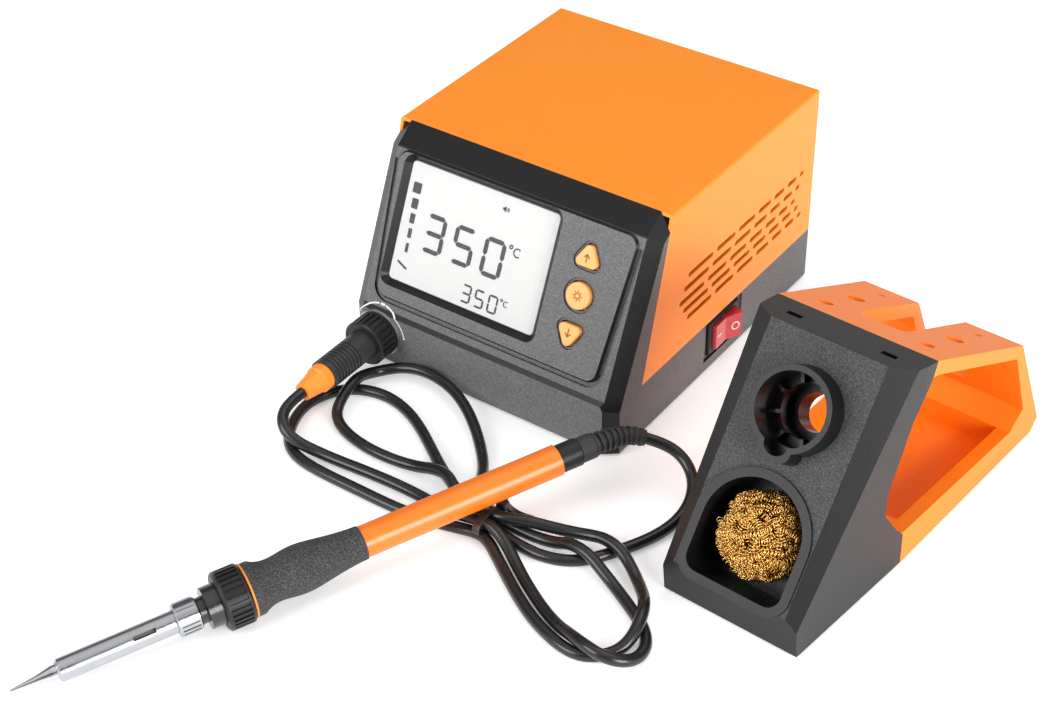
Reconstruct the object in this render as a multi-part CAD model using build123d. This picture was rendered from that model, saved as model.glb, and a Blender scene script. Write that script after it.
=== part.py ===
from build123d import *
from math import atan2, cos, degrees, radians, sin, tan
import os

# ---------------------------------------------------------------------------
# Soldering iron station: power unit, plugged-in iron and iron stand.
# Millimetres, +Z up, origin on the bench under the middle of the whole set.
# ---------------------------------------------------------------------------

# Where the three units stand on the bench
station_x = -58.3
station_y = 26.0
stand_x = 77.8
stand_y = -20.1
stand_turn = -3.3
foot_height = 1.2

# Power unit, overall
case_width = 120.0
case_depth = 139.8
case_height = 86.2
seam_low_y = 18.3
seam_low_z = 23.1
seam_top_y = 36.3

# Front panel moulding
panel_wall = 2.4
panel_side_wall = 4.4
corner_cut_across = 5.0
corner_cut_in = 4.0
lip_low_z = 22.5
lip_y = 1.5
lip_z = 24.0
face_top_y = 27.6
face_top_z = 80.0
slab_rise = 1.2
slab_bevel = 35.0
slab_low_half = 50.0
slab_top_half = 53.5
slab_low_v = 4.5
slab_top_v = 61.5
slab_corner = 5.0
groove_width = 1.8
groove_depth = 1.2
groove_top_v = 57.0

# Display
window_x = -14.0
window_v = 35.2
window_width = 66.8
window_height = 46.3
window_thick = 1.2
window_corner = 2.0
window_floor = 0.8
window_flare = 2.1
window_ledge = 2.0
module_width = 72.0
module_height = 50.0
module_thick = 5.6
seat_gap = 0.2

# Push buttons
button_x = 35.3
button_rows = {"button_up": 47.8, "button_set": 33.7, "button_down": 19.6}
button_radius = 5.0
triangle_radius = 6.7
triangle_round = 1.9
button_gap = 0.6
button_stand_out = 1.3
button_flange = 1.5
button_flange_thick = 1.5
button_stem_radius = 2.0
button_stem_length = 1.8
button_travel = 0.8
button_round = 0.5

# Control board behind the panel
board_thick = 1.6
tact_size = 6.0
tact_height = 3.5
tact_plunger_radius = 1.7
tact_plunger_height = 1.0
control_half_width = 52.0
control_low_v = 3.0
control_top_v = 59.0
control_boss_radius = 2.8
control_bosses = [(-48.5, 6.2), (48.5, 6.2), (48.5, 56.0), (27.0, 57.0)]
screw_radius = 1.4
screw_head_radius = 2.6
screw_head_height = 1.6

# Cover, tray and rear panel
cover_thick = 1.2
cover_round = 1.0
tray_wall = 2.4
rear_panel_thick = 2.2
louvre_height = 2.0
louvre_rows = [(54.0, 48.0), (49.0, 45.3), (44.0, 42.4), (39.5, 45.3), (35.0, 48.1)]
louvre_lengths = [17.0, 13.1, 11.7, 9.2, 7.5, 6.6, 3.1]
louvre_gap = 2.6
vent_count = 7
vent_pitch = 6.0
vent_width = 2.2
vent_height = 26.0

# Rocker switch on the right wall
rocker_y = 75.0
rocker_z = 14.4
rocker_flange_length = 21.2
rocker_flange_height = 14.8
rocker_flange_thick = 1.6
rocker_body_length = 19.0
rocker_body_height = 13.0
rocker_body_depth = 14.0
rocker_recess_depth = 1.2
rocker_recess_length = 27.0
rocker_recess_height = 18.0
rocker_radius = 8.0
rocker_half_height = 5.3
rocker_tilt = 12.0
rocker_gap = 0.3
rocker_pin_radius = 1.2
rocker_pin_gap = 0.06
rocker_pin_length = 0.8
rocker_pivot_in = 1.2

# Iron socket on the front and the plug in it
socket_x = -46.5
socket_z = 14.0
socket_flange_radius = 9.6
socket_flange_thick = 1.2
socket_neck_radius = 6.8
socket_neck_length = 5.6
socket_body_radius = 7.5
socket_body_length = 14.0
socket_nut_radius = 8.8
socket_nut_thick = 3.0
collar_radius = 9.2
collar_length = 9.0
collar_gap = 0.15
collar_flutes = 24
plug_radius = 6.0
plug_flange_radius = 6.9
plug_flange_thick = 1.2
plug_length = 23.0
plug_grooves = 8
boot_front_radius = 5.3
boot_end_radius = 3.4
boot_length = 12.0

# Cord
cord_diameter = 4.3
plug_run = [
    (-104.8, -19.4, 14.0),
    (-105.2, -25.6, 13.6),
    (-104.6, -31.4, 11.8),
    (-100.8, -35.2, 9.0),
    (-94.6, -35.2, 6.0),
]
iron_run = [
    (14.8, 26.1, 17.5),
    (20.9, 29.9, 15.2),
    (28.6, 30.5, 11.9),
    (35.0, 26.7, 8.2),
    (38.6, 19.6, 5.2),
    (39.2, 11.2, 3.1),
    (37.6, 2.9, 2.3),
    (34.4, -5.6, 2.2),
    (29.4, -14.8, 2.2),
]
loops_left_outline = [
    (-13.3, -36.0), (-30.0, -42.0), (-50.0, -45.0), (-72.0, -45.5), (-90.0, -41.5), (-104.0, -36.5),
    (-112.5, -27.0), (-116.0, -12.0), (-115.0, 2.0), (-110.0, 15.0), (-100.0, 21.5), (-86.0, 22.8),
    (-70.0, 22.6), (-56.0, 17.0), (-44.0, 8.0), (-32.0, -3.0), (-22.0, -18.0), (-13.3, -23.0),
]
loops_right_outline = [
    (-13.3, -36.0), (4.0, -43.0), (20.0, -52.5), (36.0, -60.5), (51.0, -63.8), (62.0, -61.5),
    (65.3, -52.0), (62.5, -42.0), (57.5, -31.5), (47.0, -20.5), (34.0, -13.0), (19.0, -11.3),
    (4.0, -15.0), (-13.3, -23.0),
]
loops_thick = 4.5
bundle_left_x = -40.0
bundle_right_x = 12.0
bundle_y = (-36.0, -23.0)
bundle_z = (1.1, 9.3)
tie_x = -13.3
tie_width = 3.2
tie_thick = 0.9

# Iron, measured along its axis from the tip
iron_tip = (-90.0, -178.1, 5.35)
iron_tube_end = (-2.9, -3.0, 19.0)
tip_length = 15.4
tip_point_radius = 0.35
tip_radius = 2.6
tip_shank_radius = 3.15
tip_shank_end = 36.0
heater_radius = 2.0
heater_start = 19.5
heater_end = 75.0
heater_gap = 0.12
sleeve_radius = 4.0
sleeve_wall = 0.7
sleeve_end = 59.0
sleeve_flange_radius = 4.5
sleeve_flange_thick = 0.5
slot_start = 40.8
slot_end = 48.5
slot_width = 1.6
slot_count = 4
nut_start = 55.4
nut_end = 63.4
nut_radius = 5.8
nut_gap = 0.12
nut_flutes = 20
neck_radius = 4.6
collar_front = 65.9
front_collar_radius = 7.2
hub_start = 72.0
hub_end = 80.2
hub_radius = 8.3
ring_start = 70.8
ring_end = 80.3
ring_radius = 10.3
ring_gap = 0.12
ring_flutes = 30
seal_end = 81.0
seal_radius = 9.5
grip_end = 122.0
grip_flange_radius = 9.3
grip_waist_radius = 7.5
grip_belly_radius = 8.3
tube_radius = 5.6
tube_spigot_radius = 4.8
tube_bore_radius = 3.5
tube_end = 196.5
cap_end = 205.0
cap_radius = 5.05
relief_collar_end = 209.9
relief_collar_radius = 4.6
relief_core_radius = 2.9
relief_rib_radius = 4.2
relief_tip_radius = 3.2
relief_ribs = 9
relief_rib_thick = 1.1
relief_bends = [(6.0, 14.8, 20.4), (10.2, 22.4, 19.3)]

# Stand shell
stand_front_half = 26.0
stand_flare = 0.0617
shell_wall = 2.5
shell_outline = [
    (0.0, 1.2), (-1.8, 16.9), (48.9, 86.8), (66.3, 82.2), (64.0, 76.0), (55.0, 64.0),
    (44.6, 40.0), (45.0, 31.0), (53.5, 19.0), (57.8, 14.5), (58.3, 1.2),
]
face_low = (-1.8, 16.9)
face_high = (48.9, 86.8)
shell_cut_across = 6.0
shell_cut_in = 4.0
cavity_half = 18.0
cavity_low_v = 0.6
cavity_corner = 5.0
cavity_depth = 19.5
cup_wall = 1.5
cup_rim_rise = 1.0
cup_rim_width = 1.6
holder_v = 62.5
holder_radius = 14.8
holder_rise = 8.5
holder_inner_radius = 12.3
holder_step_radius = 9.2
holder_bore_radius = 6.5
holder_cup_depth = 5.0
holder_step_depth = 13.0
holder_depth = 22.0
holder_ribs = 8
holder_gap = 0.2
wool_radius = 14.6
wool_half_depth = 9.2
wool_sink = 9.2

# Stand frame
frame_outline = [
    (66.3, 82.2), (128.0, 51.7), (150.5, 5.8), (146.7, 1.2), (58.3, 1.2), (57.8, 14.5),
    (53.5, 19.0), (45.0, 31.0), (44.6, 40.0), (55.0, 64.0), (64.0, 76.0),
]
frame_window = [(40.0, 85.0), (68.5, 75.5), (125.0, 47.6), (137.0, 18.0), (129.0, 12.2), (58.0, 15.5),
        (40.0, 20.0)]
frame_floor = 3.0
frame_beam_width = 5.0
notch_half = 9.2
notch_start = 16.0
notch_low_z = 22.0
tip_holes = [(14.5, 2.6), (37.0, 3.3), (57.0, 1.5)]
tip_hole_x = 19.0
stand_bar_y = (47.0, 56.5)
stand_foot_radius = 4.0

parts = {}


# ---------------------------------------------------------------------------
# Small helpers
# ---------------------------------------------------------------------------

def block(x0, x1, y0, y1, z0, z1):
    """Box between two corners."""
    centre = Pos((x0 + x1) / 2, (y0 + y1) / 2, (z0 + z1) / 2)
    return centre * Box(x1 - x0, y1 - y0, z1 - z0)


def rod(radius, low, high, at=(0, 0)):
    """Upright cylinder."""
    return Pos(at[0], at[1], (low + high) / 2) * Cylinder(radius, high - low)


def sleeve(outer, inner, low, high, at=(0, 0)):
    """Upright tube."""
    return rod(outer, low, high, at) - rod(inner, low - 1, high + 1, at)


def turned(outline):
    """Solid of revolution about Z from (radius, height) points."""
    return revolve(Plane.XZ * make_face(Polyline(*outline, close=True)), Axis.Z)


def slice_x(outline, x0, x1):
    """Side outline of (y, z) points, extruded from x0 to x1."""
    face = Plane.YZ.offset(x0) * make_face(Polyline(*outline, close=True))
    return extrude(face, amount=x1 - x0)


def rounded(width, height, corner, x=0.0, y=0.0):
    """Rounded rectangle sketch."""
    return Pos(x, y) * RectangleRounded(width, height, corner)


def both_sides(solid):
    """A solid and its mirror image in the middle plane."""
    return solid + mirror(solid, Plane.YZ)


def fluted(outer, low, high, count, depth, width):
    """Cutters for a knurl of straight flutes round Z."""
    cutter = Pos(outer, 0, (low + high) / 2) * Box(2 * depth, width, high - low)
    return [Rot(0, 0, 360.0 * i / count) * cutter for i in range(count)]


def screw(x, y, z, length, up=True):
    """Pan head screw at the point under its head; up tells which way the head looks."""
    way = 1 if up else -1
    head = (z, z + way * screw_head_height)
    shank = (z - way * length, z)
    body = rod(screw_head_radius, min(head), max(head), (x, y)) + rod(screw_radius, min(shank),
            max(shank), (x, y))
    cross = block(x - 1.8, x + 1.8, y - 0.35, y + 0.35, 0, 0.8) + block(x - 0.35, x + 0.35, y - 1.8,
            y + 1.8, 0, 0.8)
    return body - Pos(0, 0, head[1] - (0.8 if up else 0.0)) * cross


def group(pieces):
    """Separate like pieces kept as one node."""
    return Compound([solid for piece in pieces for solid in piece.solids()])


def keep(name, shape, place=None):
    """Put a finished piece in its place on the bench."""
    parts[name] = place * shape if place else shape


# ---------------------------------------------------------------------------
# Frames of reference
# ---------------------------------------------------------------------------

station = Pos(station_x, station_y, 0)
stand = Pos(stand_x, stand_y, 0) * Rot(0, 0, stand_turn)

panel_lean = atan2(face_top_y - lip_y, face_top_z - lip_z)
face = Plane(origin=(0, lip_y, lip_z), x_dir=(1, 0, 0), z_dir=(0, -cos(panel_lean), sin(panel_lean)))
half = case_width / 2

stand_lean = atan2(face_high[0] - face_low[0], face_high[1] - face_low[1])
stand_face = Plane(
    origin=(0, face_low[0], face_low[1]), x_dir=(1, 0, 0), z_dir=(0, -cos(stand_lean), sin(stand_lean))
)

iron_axis = Vector(*iron_tube_end) - Vector(*iron_tip)
iron = Location(Plane(origin=iron_tip, x_dir=(1, 0, 0), z_dir=iron_axis.normalized()))


# ---------------------------------------------------------------------------
# Power unit: front panel, display and buttons
# ---------------------------------------------------------------------------

def corner_cut(stretch, edge, across, inward):
    """Pair of wedges that take the side corners off along one straight stretch of a side outline."""
    (y0, z0), (y1, z1) = stretch
    plane = Plane(origin=(0, y0, z0), x_dir=(1, 0, 0), z_dir=(0, y1 - y0, z1 - z0))
    wedge = [(edge - 3 * across, -2 * inward), (edge + across, -2 * inward), (edge + across, 2 * inward)]
    return both_sides(extrude(plane * make_face(Polyline(*wedge, close=True)), amount=160, both=True))


def button_outline(name):
    """Outline of one button's cap, centred on itself."""
    if name == "button_set":
        return Circle(button_radius)
    turn = 90 if name == "button_up" else -90
    triangle = Rot(0, 0, turn) * RegularPolygon(triangle_radius, 3)
    return fillet(triangle.vertices(), triangle_round)


def grown(sketch, amount):
    """Sketch grown outward by a gap."""
    return offset(sketch, amount=amount, kind=Kind.ARC)


def front_outline():
    """Front stretch of the panel's side outline, from the bench to the cover."""
    return [(0, foot_height), (0, lip_low_z), (lip_y, lip_z), (face_top_y, face_top_z),
            (seam_top_y, case_height)]


def make_front_panel():
    """Front moulding with the raised slab, display recess, button holes and socket hole."""
    front = front_outline()
    outline = front + [(seam_low_y, seam_low_z), (seam_low_y, foot_height)]
    body = slice_x(outline, -half, half)
    deep = front + [(seam_top_y + 40, case_height), (seam_low_y + 40, foot_height)]
    inner_face = offset(make_face(Polyline(*deep, close=True)), amount=-panel_wall, kind=Kind.INTERSECTION)
    inner_half = half - panel_side_wall
    inner = extrude(Plane.YZ.offset(-inner_half) * inner_face, amount=2 * inner_half)
    body -= inner
    slab_points = [
        (-slab_low_half, slab_low_v), (slab_low_half, slab_low_v),
        (slab_top_half, slab_top_v), (-slab_top_half, slab_top_v),
    ]
    slab_sketch = make_face(Polyline(*slab_points, close=True))
    slab_sketch = fillet(slab_sketch.vertices(), slab_corner)
    moat = grown(slab_sketch, groove_width) - slab_sketch
    moat &= Pos(0, groove_top_v / 2 - 5) * Rectangle(case_width, groove_top_v + 10)
    body -= extrude(face * moat, amount=-groove_depth)
    body += extrude(face * slab_sketch, amount=slab_rise, taper=slab_bevel)
    for stretch in (front[0:2], front[2:4], front[3:5]):
        body -= corner_cut(stretch, half, corner_cut_across, corner_cut_in)
    floor_w = window_floor_w()
    pocket = rounded(window_width + 2 * seat_gap, window_height + 2 * seat_gap, window_corner, window_x,
            window_v)
    rise = slab_rise - floor_w
    body -= extrude(face.offset(floor_w) * pocket, amount=rise + 0.5,
            taper=-degrees(atan2(window_flare, rise)))
    opening = rounded(window_width - 2 * window_ledge, window_height - 2 * window_ledge, 1.0, window_x,
            window_v)
    body -= extrude(face.offset(floor_w + 1) * opening, amount=-6)
    for name, v in button_rows.items():
        hole = Pos(button_x, v) * grown(button_outline(name), button_gap)
        body -= extrude(face.offset(slab_rise + 1) * hole, amount=-(panel_wall + slab_rise + 2))
        rim = Pos(button_x, v) * grown(button_outline(name), button_gap + 0.7)
        body -= extrude(face.offset(slab_rise - 0.5) * rim, amount=1.0, taper=-20)
    back = control_board_top()
    for spot in control_bosses:
        boss = Pos(*spot) * Circle(control_boss_radius)
        pilot = Pos(*spot) * Circle(screw_radius)
        body += extrude(face.offset(-panel_wall + 0.2) * boss, amount=back + panel_wall - 0.2)
        body -= extrude(face.offset(back) * pilot, amount=5.0)
    body -= Pos(socket_x, 0, socket_z) * Rot(90, 0, 0) * Cylinder(socket_body_radius + 0.15, 12)
    for side in (-1, 1):
        tab = block(side * 40 - 6, side * 40 + 6, seam_low_y - 6, seam_low_y + 10, tray_top(),
                tray_top() + 2.4)
        web = block(side * 40 - 6, side * 40 + 6, panel_wall - 0.5, seam_low_y - 5, foot_height + 1,
                tray_top() + 2.4)
        body += tab + web
        body -= rod(screw_radius, 0, 20, (side * 40, seam_low_y + 5))
    return body


def tray_top():
    """Top of the tray's floor."""
    return foot_height + tray_wall


def window_floor_w():
    """Height of the display recess floor over the panel's face plane."""
    return slab_rise - 2.0 - window_floor


def stem_low_w():
    """Lowest end of a button's stem at rest."""
    return -panel_wall - 0.15 - button_flange_thick - button_stem_length


def control_board_top():
    """Front face of the control board, set by the buttons' travel."""
    return stem_low_w() - button_travel - 0.15 - tact_plunger_height - tact_height


def make_window():
    """Clear cover of the display."""
    outline = rounded(window_width, window_height, window_corner, window_x, window_v)
    return extrude(face.offset(window_floor_w()) * outline, amount=window_thick)


def make_display():
    """Display module with its bezel and pin header."""
    top = -panel_wall - 0.1
    outline = rounded(module_width, module_height, 1.5, window_x, window_v)
    body = extrude(face.offset(top) * outline, amount=-module_thick)
    glass = rounded(window_width - 2 * window_ledge - 0.6, window_height - 2 * window_ledge - 0.6, 0.8,
            window_x, window_v)
    body += extrude(face.offset(top) * glass, amount=window_floor_w() - 0.1 - top)
    pins = Pos(window_x, window_v - module_height / 2 + 3) * Rectangle(40, 2.4)
    length = top - module_thick - control_board_top()
    return body + extrude(face.offset(top - module_thick) * pins, amount=-length)


def make_button(name):
    """One push button: cap, retaining flange and stem."""
    spot = Pos(button_x, button_rows[name])
    cap = button_outline(name)
    low = -panel_wall - 0.15
    height = slab_rise + button_stand_out - low
    body = extrude(face.offset(low) * (spot * cap), amount=height)
    rim = body.faces().sort_by(Axis(origin=(0, 0, 0), direction=face.z_dir))[-1].edges()
    body = fillet(rim, button_round)
    flange = spot * grown(cap, button_flange)
    body += extrude(face.offset(low) * flange, amount=-button_flange_thick)
    stem = spot * Circle(button_stem_radius)
    body += extrude(face.offset(low - button_flange_thick) * stem, amount=-button_stem_length)
    return body


def make_control_board():
    """Board that carries the display and the key switches."""
    top = control_board_top()
    middle = (control_low_v + control_top_v) / 2
    outline = Pos(0, middle) * Rectangle(2 * control_half_width, control_top_v - control_low_v)
    body = extrude(face.offset(top) * outline, amount=-board_thick)
    for spot in control_bosses:
        hole = Pos(*spot) * Circle(screw_radius + 0.15)
        body -= extrude(face.offset(top + 1) * hole, amount=-board_thick - 2)
    return body


def make_key_switches():
    """Three small key switches on the board, one under each button."""
    top = control_board_top()
    pieces = []
    for v in button_rows.values():
        spot = Pos(button_x, v)
        case = extrude(face.offset(top) * (spot * Rectangle(tact_size, tact_size)), amount=tact_height)
        plunger = spot * Circle(tact_plunger_radius)
        pieces.append(case + extrude(face.offset(top + tact_height) * plunger, amount=tact_plunger_height))
    return group(pieces)


def make_buzzer():
    """Round buzzer on the back of the control board."""
    top = control_board_top() - board_thick
    spot = Pos(-38, 46)
    body = extrude(face.offset(top) * (spot * Circle(6.0)), amount=-7.0)
    return body - extrude(face.offset(top - 5) * (spot * Circle(1.0)), amount=-4)


def make_control_screws():
    """Screws that hold the control board on the panel's posts."""
    low = control_board_top() - board_thick
    pieces = []
    for spot in control_bosses:
        head = extrude(face.offset(low) * (Pos(*spot) * Circle(screw_head_radius)),
                amount=-screw_head_height)
        shank = extrude(face.offset(low) * (Pos(*spot) * Circle(screw_radius - 0.02)),
                amount=board_thick + 4.0)
        pieces.append(head + shank)
    return group(pieces)


# ---------------------------------------------------------------------------
# Power unit: cover, tray, rear panel, feet and fasteners
# ---------------------------------------------------------------------------

def make_cover():
    """Sheet cover with a top and two louvred sides."""
    outline = [(seam_low_y, seam_low_z), (seam_top_y, case_height), (case_depth, case_height),
            (case_depth, seam_low_z)]
    body = slice_x(outline, -half, half)
    long_edges = body.edges().filter_by(Axis.Y).group_by(Axis.Z)[-1]
    body = fillet(long_edges, cover_round)
    inner = [(seam_low_y - 5, seam_low_z - 1), (seam_top_y - 5, case_height - cover_thick)]
    inner += [(case_depth + 1, case_height - cover_thick), (case_depth + 1, seam_low_z - 1)]
    body -= slice_x(inner, -half + cover_thick, half - cover_thick)
    for z, start in louvre_rows:
        y = start
        for length in louvre_lengths:
            slot = Plane.YZ * (Pos(y + length / 2, z) * SlotOverall(max(length, louvre_height + 0.4),
                    louvre_height))
            body -= extrude(slot, amount=half + 5, both=True)
            y += length + louvre_gap
    back = case_depth - 0.4 - rear_panel_thick
    for x, y in rear_screw_spots():
        if y > seam_low_z + 20:
            tab = block(x - 5, x + 5, back - 2.0, back, y - 5, case_height - cover_thick / 2)
            body += tab - Pos(x, back - 1, y) * Rot(90, 0, 0) * Cylinder(screw_radius, 6)
    return body


def rear_screw_spots():
    """Screw places on the rear panel, as (x, z)."""
    return [(-50, 77.0), (50, 77.0), (-50, 31.0), (50, 31.0)]


def make_tray():
    """Bottom tray with side walls, rear wall, posts and the switch recess."""
    body = block(-half, half, seam_low_y, case_depth, foot_height, seam_low_z)
    body -= block(-half + tray_wall, half - tray_wall, seam_low_y - 1, case_depth - tray_wall,
            tray_top(), seam_low_z + 1)
    guide = block(half - tray_wall, half - cover_thick - 0.1, seam_low_y + 8, case_depth - 5,
            seam_low_z - 3, seam_low_z + 3.5)
    body += both_sides(guide)
    recess_x = half - rocker_recess_depth
    y0 = rocker_y - rocker_recess_length / 2
    z0 = rocker_z - rocker_recess_height / 2
    body -= block(recess_x, half + 1, y0, y0 + rocker_recess_length, z0, z0 + rocker_recess_height - 0.6)
    hole_y = rocker_body_length / 2 + 0.1
    hole_z = rocker_body_height / 2 + 0.1
    body -= block(half - 5, half + 1, rocker_y - hole_y, rocker_y + hole_y, rocker_z - hole_z,
            rocker_z + hole_z)
    for x, y in board_posts():
        body += sleeve(3.0, screw_radius, tray_top() - 0.2, power_board_low(), (x, y))
    back = case_depth - 0.4 - rear_panel_thick
    for x, z in rear_screw_spots():
        if z < seam_low_z + 20:
            post = block(x - 5, x + 5, back - 4.0, back, tray_top() - 0.5, z + 5)
            body += post - Pos(x, back - 2, z) * Rot(90, 0, 0) * Cylinder(screw_radius, 8)
    for side in (-1, 1):
        spot = (side * 40, seam_low_y + 5)
        body -= rod(screw_radius + 0.2, 0, 20, spot)
        body -= rod(screw_head_radius + 0.4, 0, foot_height + 1.0, spot)
    for x, y in transformer_screw_spots():
        body -= rod(screw_radius, foot_height + 0.6, 10, (x, y))
    for x, y in foot_spots():
        body -= rod(4.2, 0, foot_height + 0.8, (x, y))
    return body


def make_rear_panel():
    """Rear panel with the cord entry hole and a row of vents."""
    y1 = case_depth - 0.4
    y0 = y1 - rear_panel_thick
    side = half - cover_thick - 0.1
    body = block(-side, side, y0, y1, seam_low_z + 0.05, case_height - cover_thick - 0.05)
    body -= Pos(gland_x, y1, gland_z) * Rot(90, 0, 0) * Cylinder(gland_thread_radius + 0.15, 10)
    for i in range(vent_count):
        x = -18 + (i - (vent_count - 1) / 2) * vent_pitch
        body -= block(x - vent_width / 2, x + vent_width / 2, y0 - 1, y1 + 1, 56 - vent_height / 2,
                56 + vent_height / 2)
    for x, z in rear_screw_spots():
        body -= Pos(x, y1, z) * Rot(90, 0, 0) * Cylinder(screw_radius + 0.2, 10)
    return body


gland_x = 34.0
gland_z = 40.0
gland_radius = 8.0
gland_thread_radius = 6.0
gland_bore_radius = 3.4
gland_length = 12.8


def make_gland():
    """Cable gland for the mains lead, bored through."""
    y1 = case_depth - 0.4
    inside = rear_panel_thick + 6.0
    head = turned([(0, 0), (gland_radius, 0), (gland_radius, 4), (5.2, gland_length), (0, gland_length)])
    neck = rod(gland_thread_radius, -inside, 0)
    body = head + neck - rod(gland_bore_radius, -inside - 1, gland_length + 1)
    return Pos(gland_x, y1, gland_z) * Rot(-90, 0, 0) * body


def make_gland_nut():
    """Hexagon nut that holds the gland from inside."""
    y0 = case_depth - 0.4 - rear_panel_thick
    nut = extrude(RegularPolygon(8.6, 6), amount=3.0) - rod(gland_thread_radius + 0.02, -1, 4)
    return Pos(gland_x, y0, gland_z) * Rot(90, 0, 0) * nut


def make_rear_screws():
    """Screws of the rear panel, heads outside."""
    y1 = case_depth - 0.4
    pieces = []
    for x, z in rear_screw_spots():
        piece = Rot(-90, 0, 0) * screw(0, 0, 0, 5.6)
        pieces.append(Pos(x, y1, z) * piece)
    return group(pieces)


def foot_spots():
    """Centres of the four rubber feet."""
    return [(-48, 34), (48, 34), (-48, 126), (48, 126)]


def make_station_feet():
    """Four rubber feet pressed into the tray."""
    pieces = [rod(6.0, 0, foot_height, spot) + rod(4.2, 0, foot_height + 0.8,
            spot) for spot in foot_spots()]
    return group(pieces)


def make_base_screws():
    """Screws from below that hold the front panel to the tray."""
    pieces = []
    for side in (-1, 1):
        spot = (side * 40, seam_low_y + 5)
        top = foot_height + 1.0
        body = rod(screw_head_radius, top - screw_head_height, top, spot)
        body += rod(screw_radius - 0.02, top, top + 4.6, spot)
        pieces.append(body)
    return group(pieces)


# ---------------------------------------------------------------------------
# Power unit: inside
# ---------------------------------------------------------------------------

power_board_x = (-50.0, 46.0)
power_board_y = (34.0, 61.0)
transformer_x = -14.0
transformer_y = 96.0
core_width = 57.0
core_height = 48.0
core_stack = 22.0
core_limb = 9.5
winding_wall = 7.6


def power_board_low():
    """Underside of the power board."""
    return tray_top() + 5.0


def board_posts():
    """Posts under the power board."""
    x0, x1 = power_board_x
    y0, y1 = power_board_y
    return [(x0 + 4, y0 + 4), (x1 - 4, y0 + 4), (x0 + 4, y1 - 4), (x1 - 4, y1 - 4)]


def make_power_board():
    """Board with the heater drive."""
    x0, x1 = power_board_x
    y0, y1 = power_board_y
    body = block(x0, x1, y0, y1, power_board_low(), power_board_low() + board_thick)
    for spot in board_posts():
        body -= rod(screw_radius + 0.15, 0, 40, spot)
    return body


def make_board_screws():
    """Screws of the power board."""
    top = power_board_low() + board_thick
    return group([screw(x, y, top, board_thick + 4.0) for x, y in board_posts()])


def make_heatsink():
    """Finned heatsink on the power board."""
    low = power_board_low() + board_thick
    body = block(8, 34, 38, 41, low, low + 24)
    for i in range(6):
        x = 8.6 + i * 4.75
        body += block(x, x + 1.4, 40.5, 52, low, low + 24)
    return body


def make_triac():
    """Power switch clamped to the heatsink."""
    low = power_board_low() + board_thick
    body = block(16, 26, 33.6 + 1.4, 38, low + 5, low + 14) + block(16, 26, 36.8, 38, low + 14, low + 20)
    for x in (18.5, 21.0, 23.5):
        body += block(x - 0.4, x + 0.4, 36.4, 37.2, low, low + 5)
    return body


def make_capacitors():
    """Smoothing capacitors on the power board."""
    low = power_board_low() + board_thick
    return group([rod(5.0, low, low + 16, spot) for spot in ((-34, 47), (-21, 47))])


def make_fuse_holder():
    """Fuse clips and base on the power board."""
    low = power_board_low() + board_thick
    body = block(-12, 4, 51, 58, low, low + 2)
    for x in (-11.5, 1.0):
        body += block(x, x + 2.5, 51.5, 57.5, low + 1.5, low + 7.5)
    return body - Pos(-4, 54.5, low + 5) * Rot(0, 90, 0) * Cylinder(2.6, 22)


def make_fuse():
    """Glass fuse in its clips."""
    low = power_board_low() + board_thick
    return Pos(-4, 54.5, low + 5) * Rot(0, 90, 0) * Cylinder(2.58, 19)


def make_core():
    """Laminated transformer core with two windows."""
    z0 = tray_top() + 1.0
    x0 = transformer_x - core_width / 2
    y0 = transformer_y - core_stack / 2
    body = block(x0, x0 + core_width, y0, y0 + core_stack, z0, z0 + core_height)
    limb = 2 * core_limb
    gap = (core_width - 2 * core_limb - limb) / 2
    for side in (-1, 1):
        middle = transformer_x + side * (limb / 2 + gap / 2)
        low = z0 + core_limb
        body -= block(middle - gap / 2, middle + gap / 2, y0 - 1, y0 + core_stack + 1, low,
                z0 + core_height - core_limb)
    return body


def make_winding():
    """Bobbin and copper winding round the middle limb."""
    z0 = tray_top() + 1.0
    low = z0 + core_limb + 0.3
    high = z0 + core_height - core_limb - 0.3
    limb = core_limb + 0.1
    deep = core_stack / 2 + 0.1
    gap = (core_width - 4 * core_limb) / 2
    wide = core_limb + gap - 0.3
    body = block(-wide, wide, -deep - winding_wall, deep + winding_wall, low, high)
    body -= block(-limb, limb, -deep, deep, low - 1, high + 1)
    return Pos(transformer_x, transformer_y, 0) * body


def transformer_screw_spots():
    """Screws of the transformer strap."""
    out = core_width / 2 + 6.0
    return [(transformer_x - out, transformer_y), (transformer_x + out, transformer_y)]


def make_strap():
    """Steel strap over the transformer with two screwed feet."""
    z0 = tray_top() + 1.0
    wide = core_width / 2
    reach = wide + 11.0
    x = transformer_x
    y0 = transformer_y - 8
    y1 = transformer_y + 8
    body = block(x - wide - 1, x + wide + 1, y0, y1, tray_top(), z0 + core_height + 1)
    body -= block(x - wide, x + wide, y0 - 1, y1 + 1, tray_top() - 1, z0 + core_height)
    body += block(x - reach, x - wide, y0, y1, tray_top(), tray_top() + 1)
    body += block(x + wide, x + reach, y0, y1, tray_top(), tray_top() + 1)
    body += block(x - wide - 0.5, x + wide + 0.5, y0, y1, tray_top(), tray_top() + 1)
    for spot in transformer_screw_spots():
        body -= rod(screw_radius + 0.15, 0, 20, spot)
    return body


def make_strap_screws():
    """Screws of the transformer strap."""
    top = tray_top() + 1.0
    return group([screw(x, y, top, 2.6) for x, y in transformer_screw_spots()])


# ---------------------------------------------------------------------------
# Power unit: rocker switch
# ---------------------------------------------------------------------------

def rocker_pivot():
    """Pivot of the rocker, in the power unit's frame."""
    return (half - rocker_recess_depth + rocker_flange_thick - rocker_pivot_in, rocker_y, rocker_z)


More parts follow.
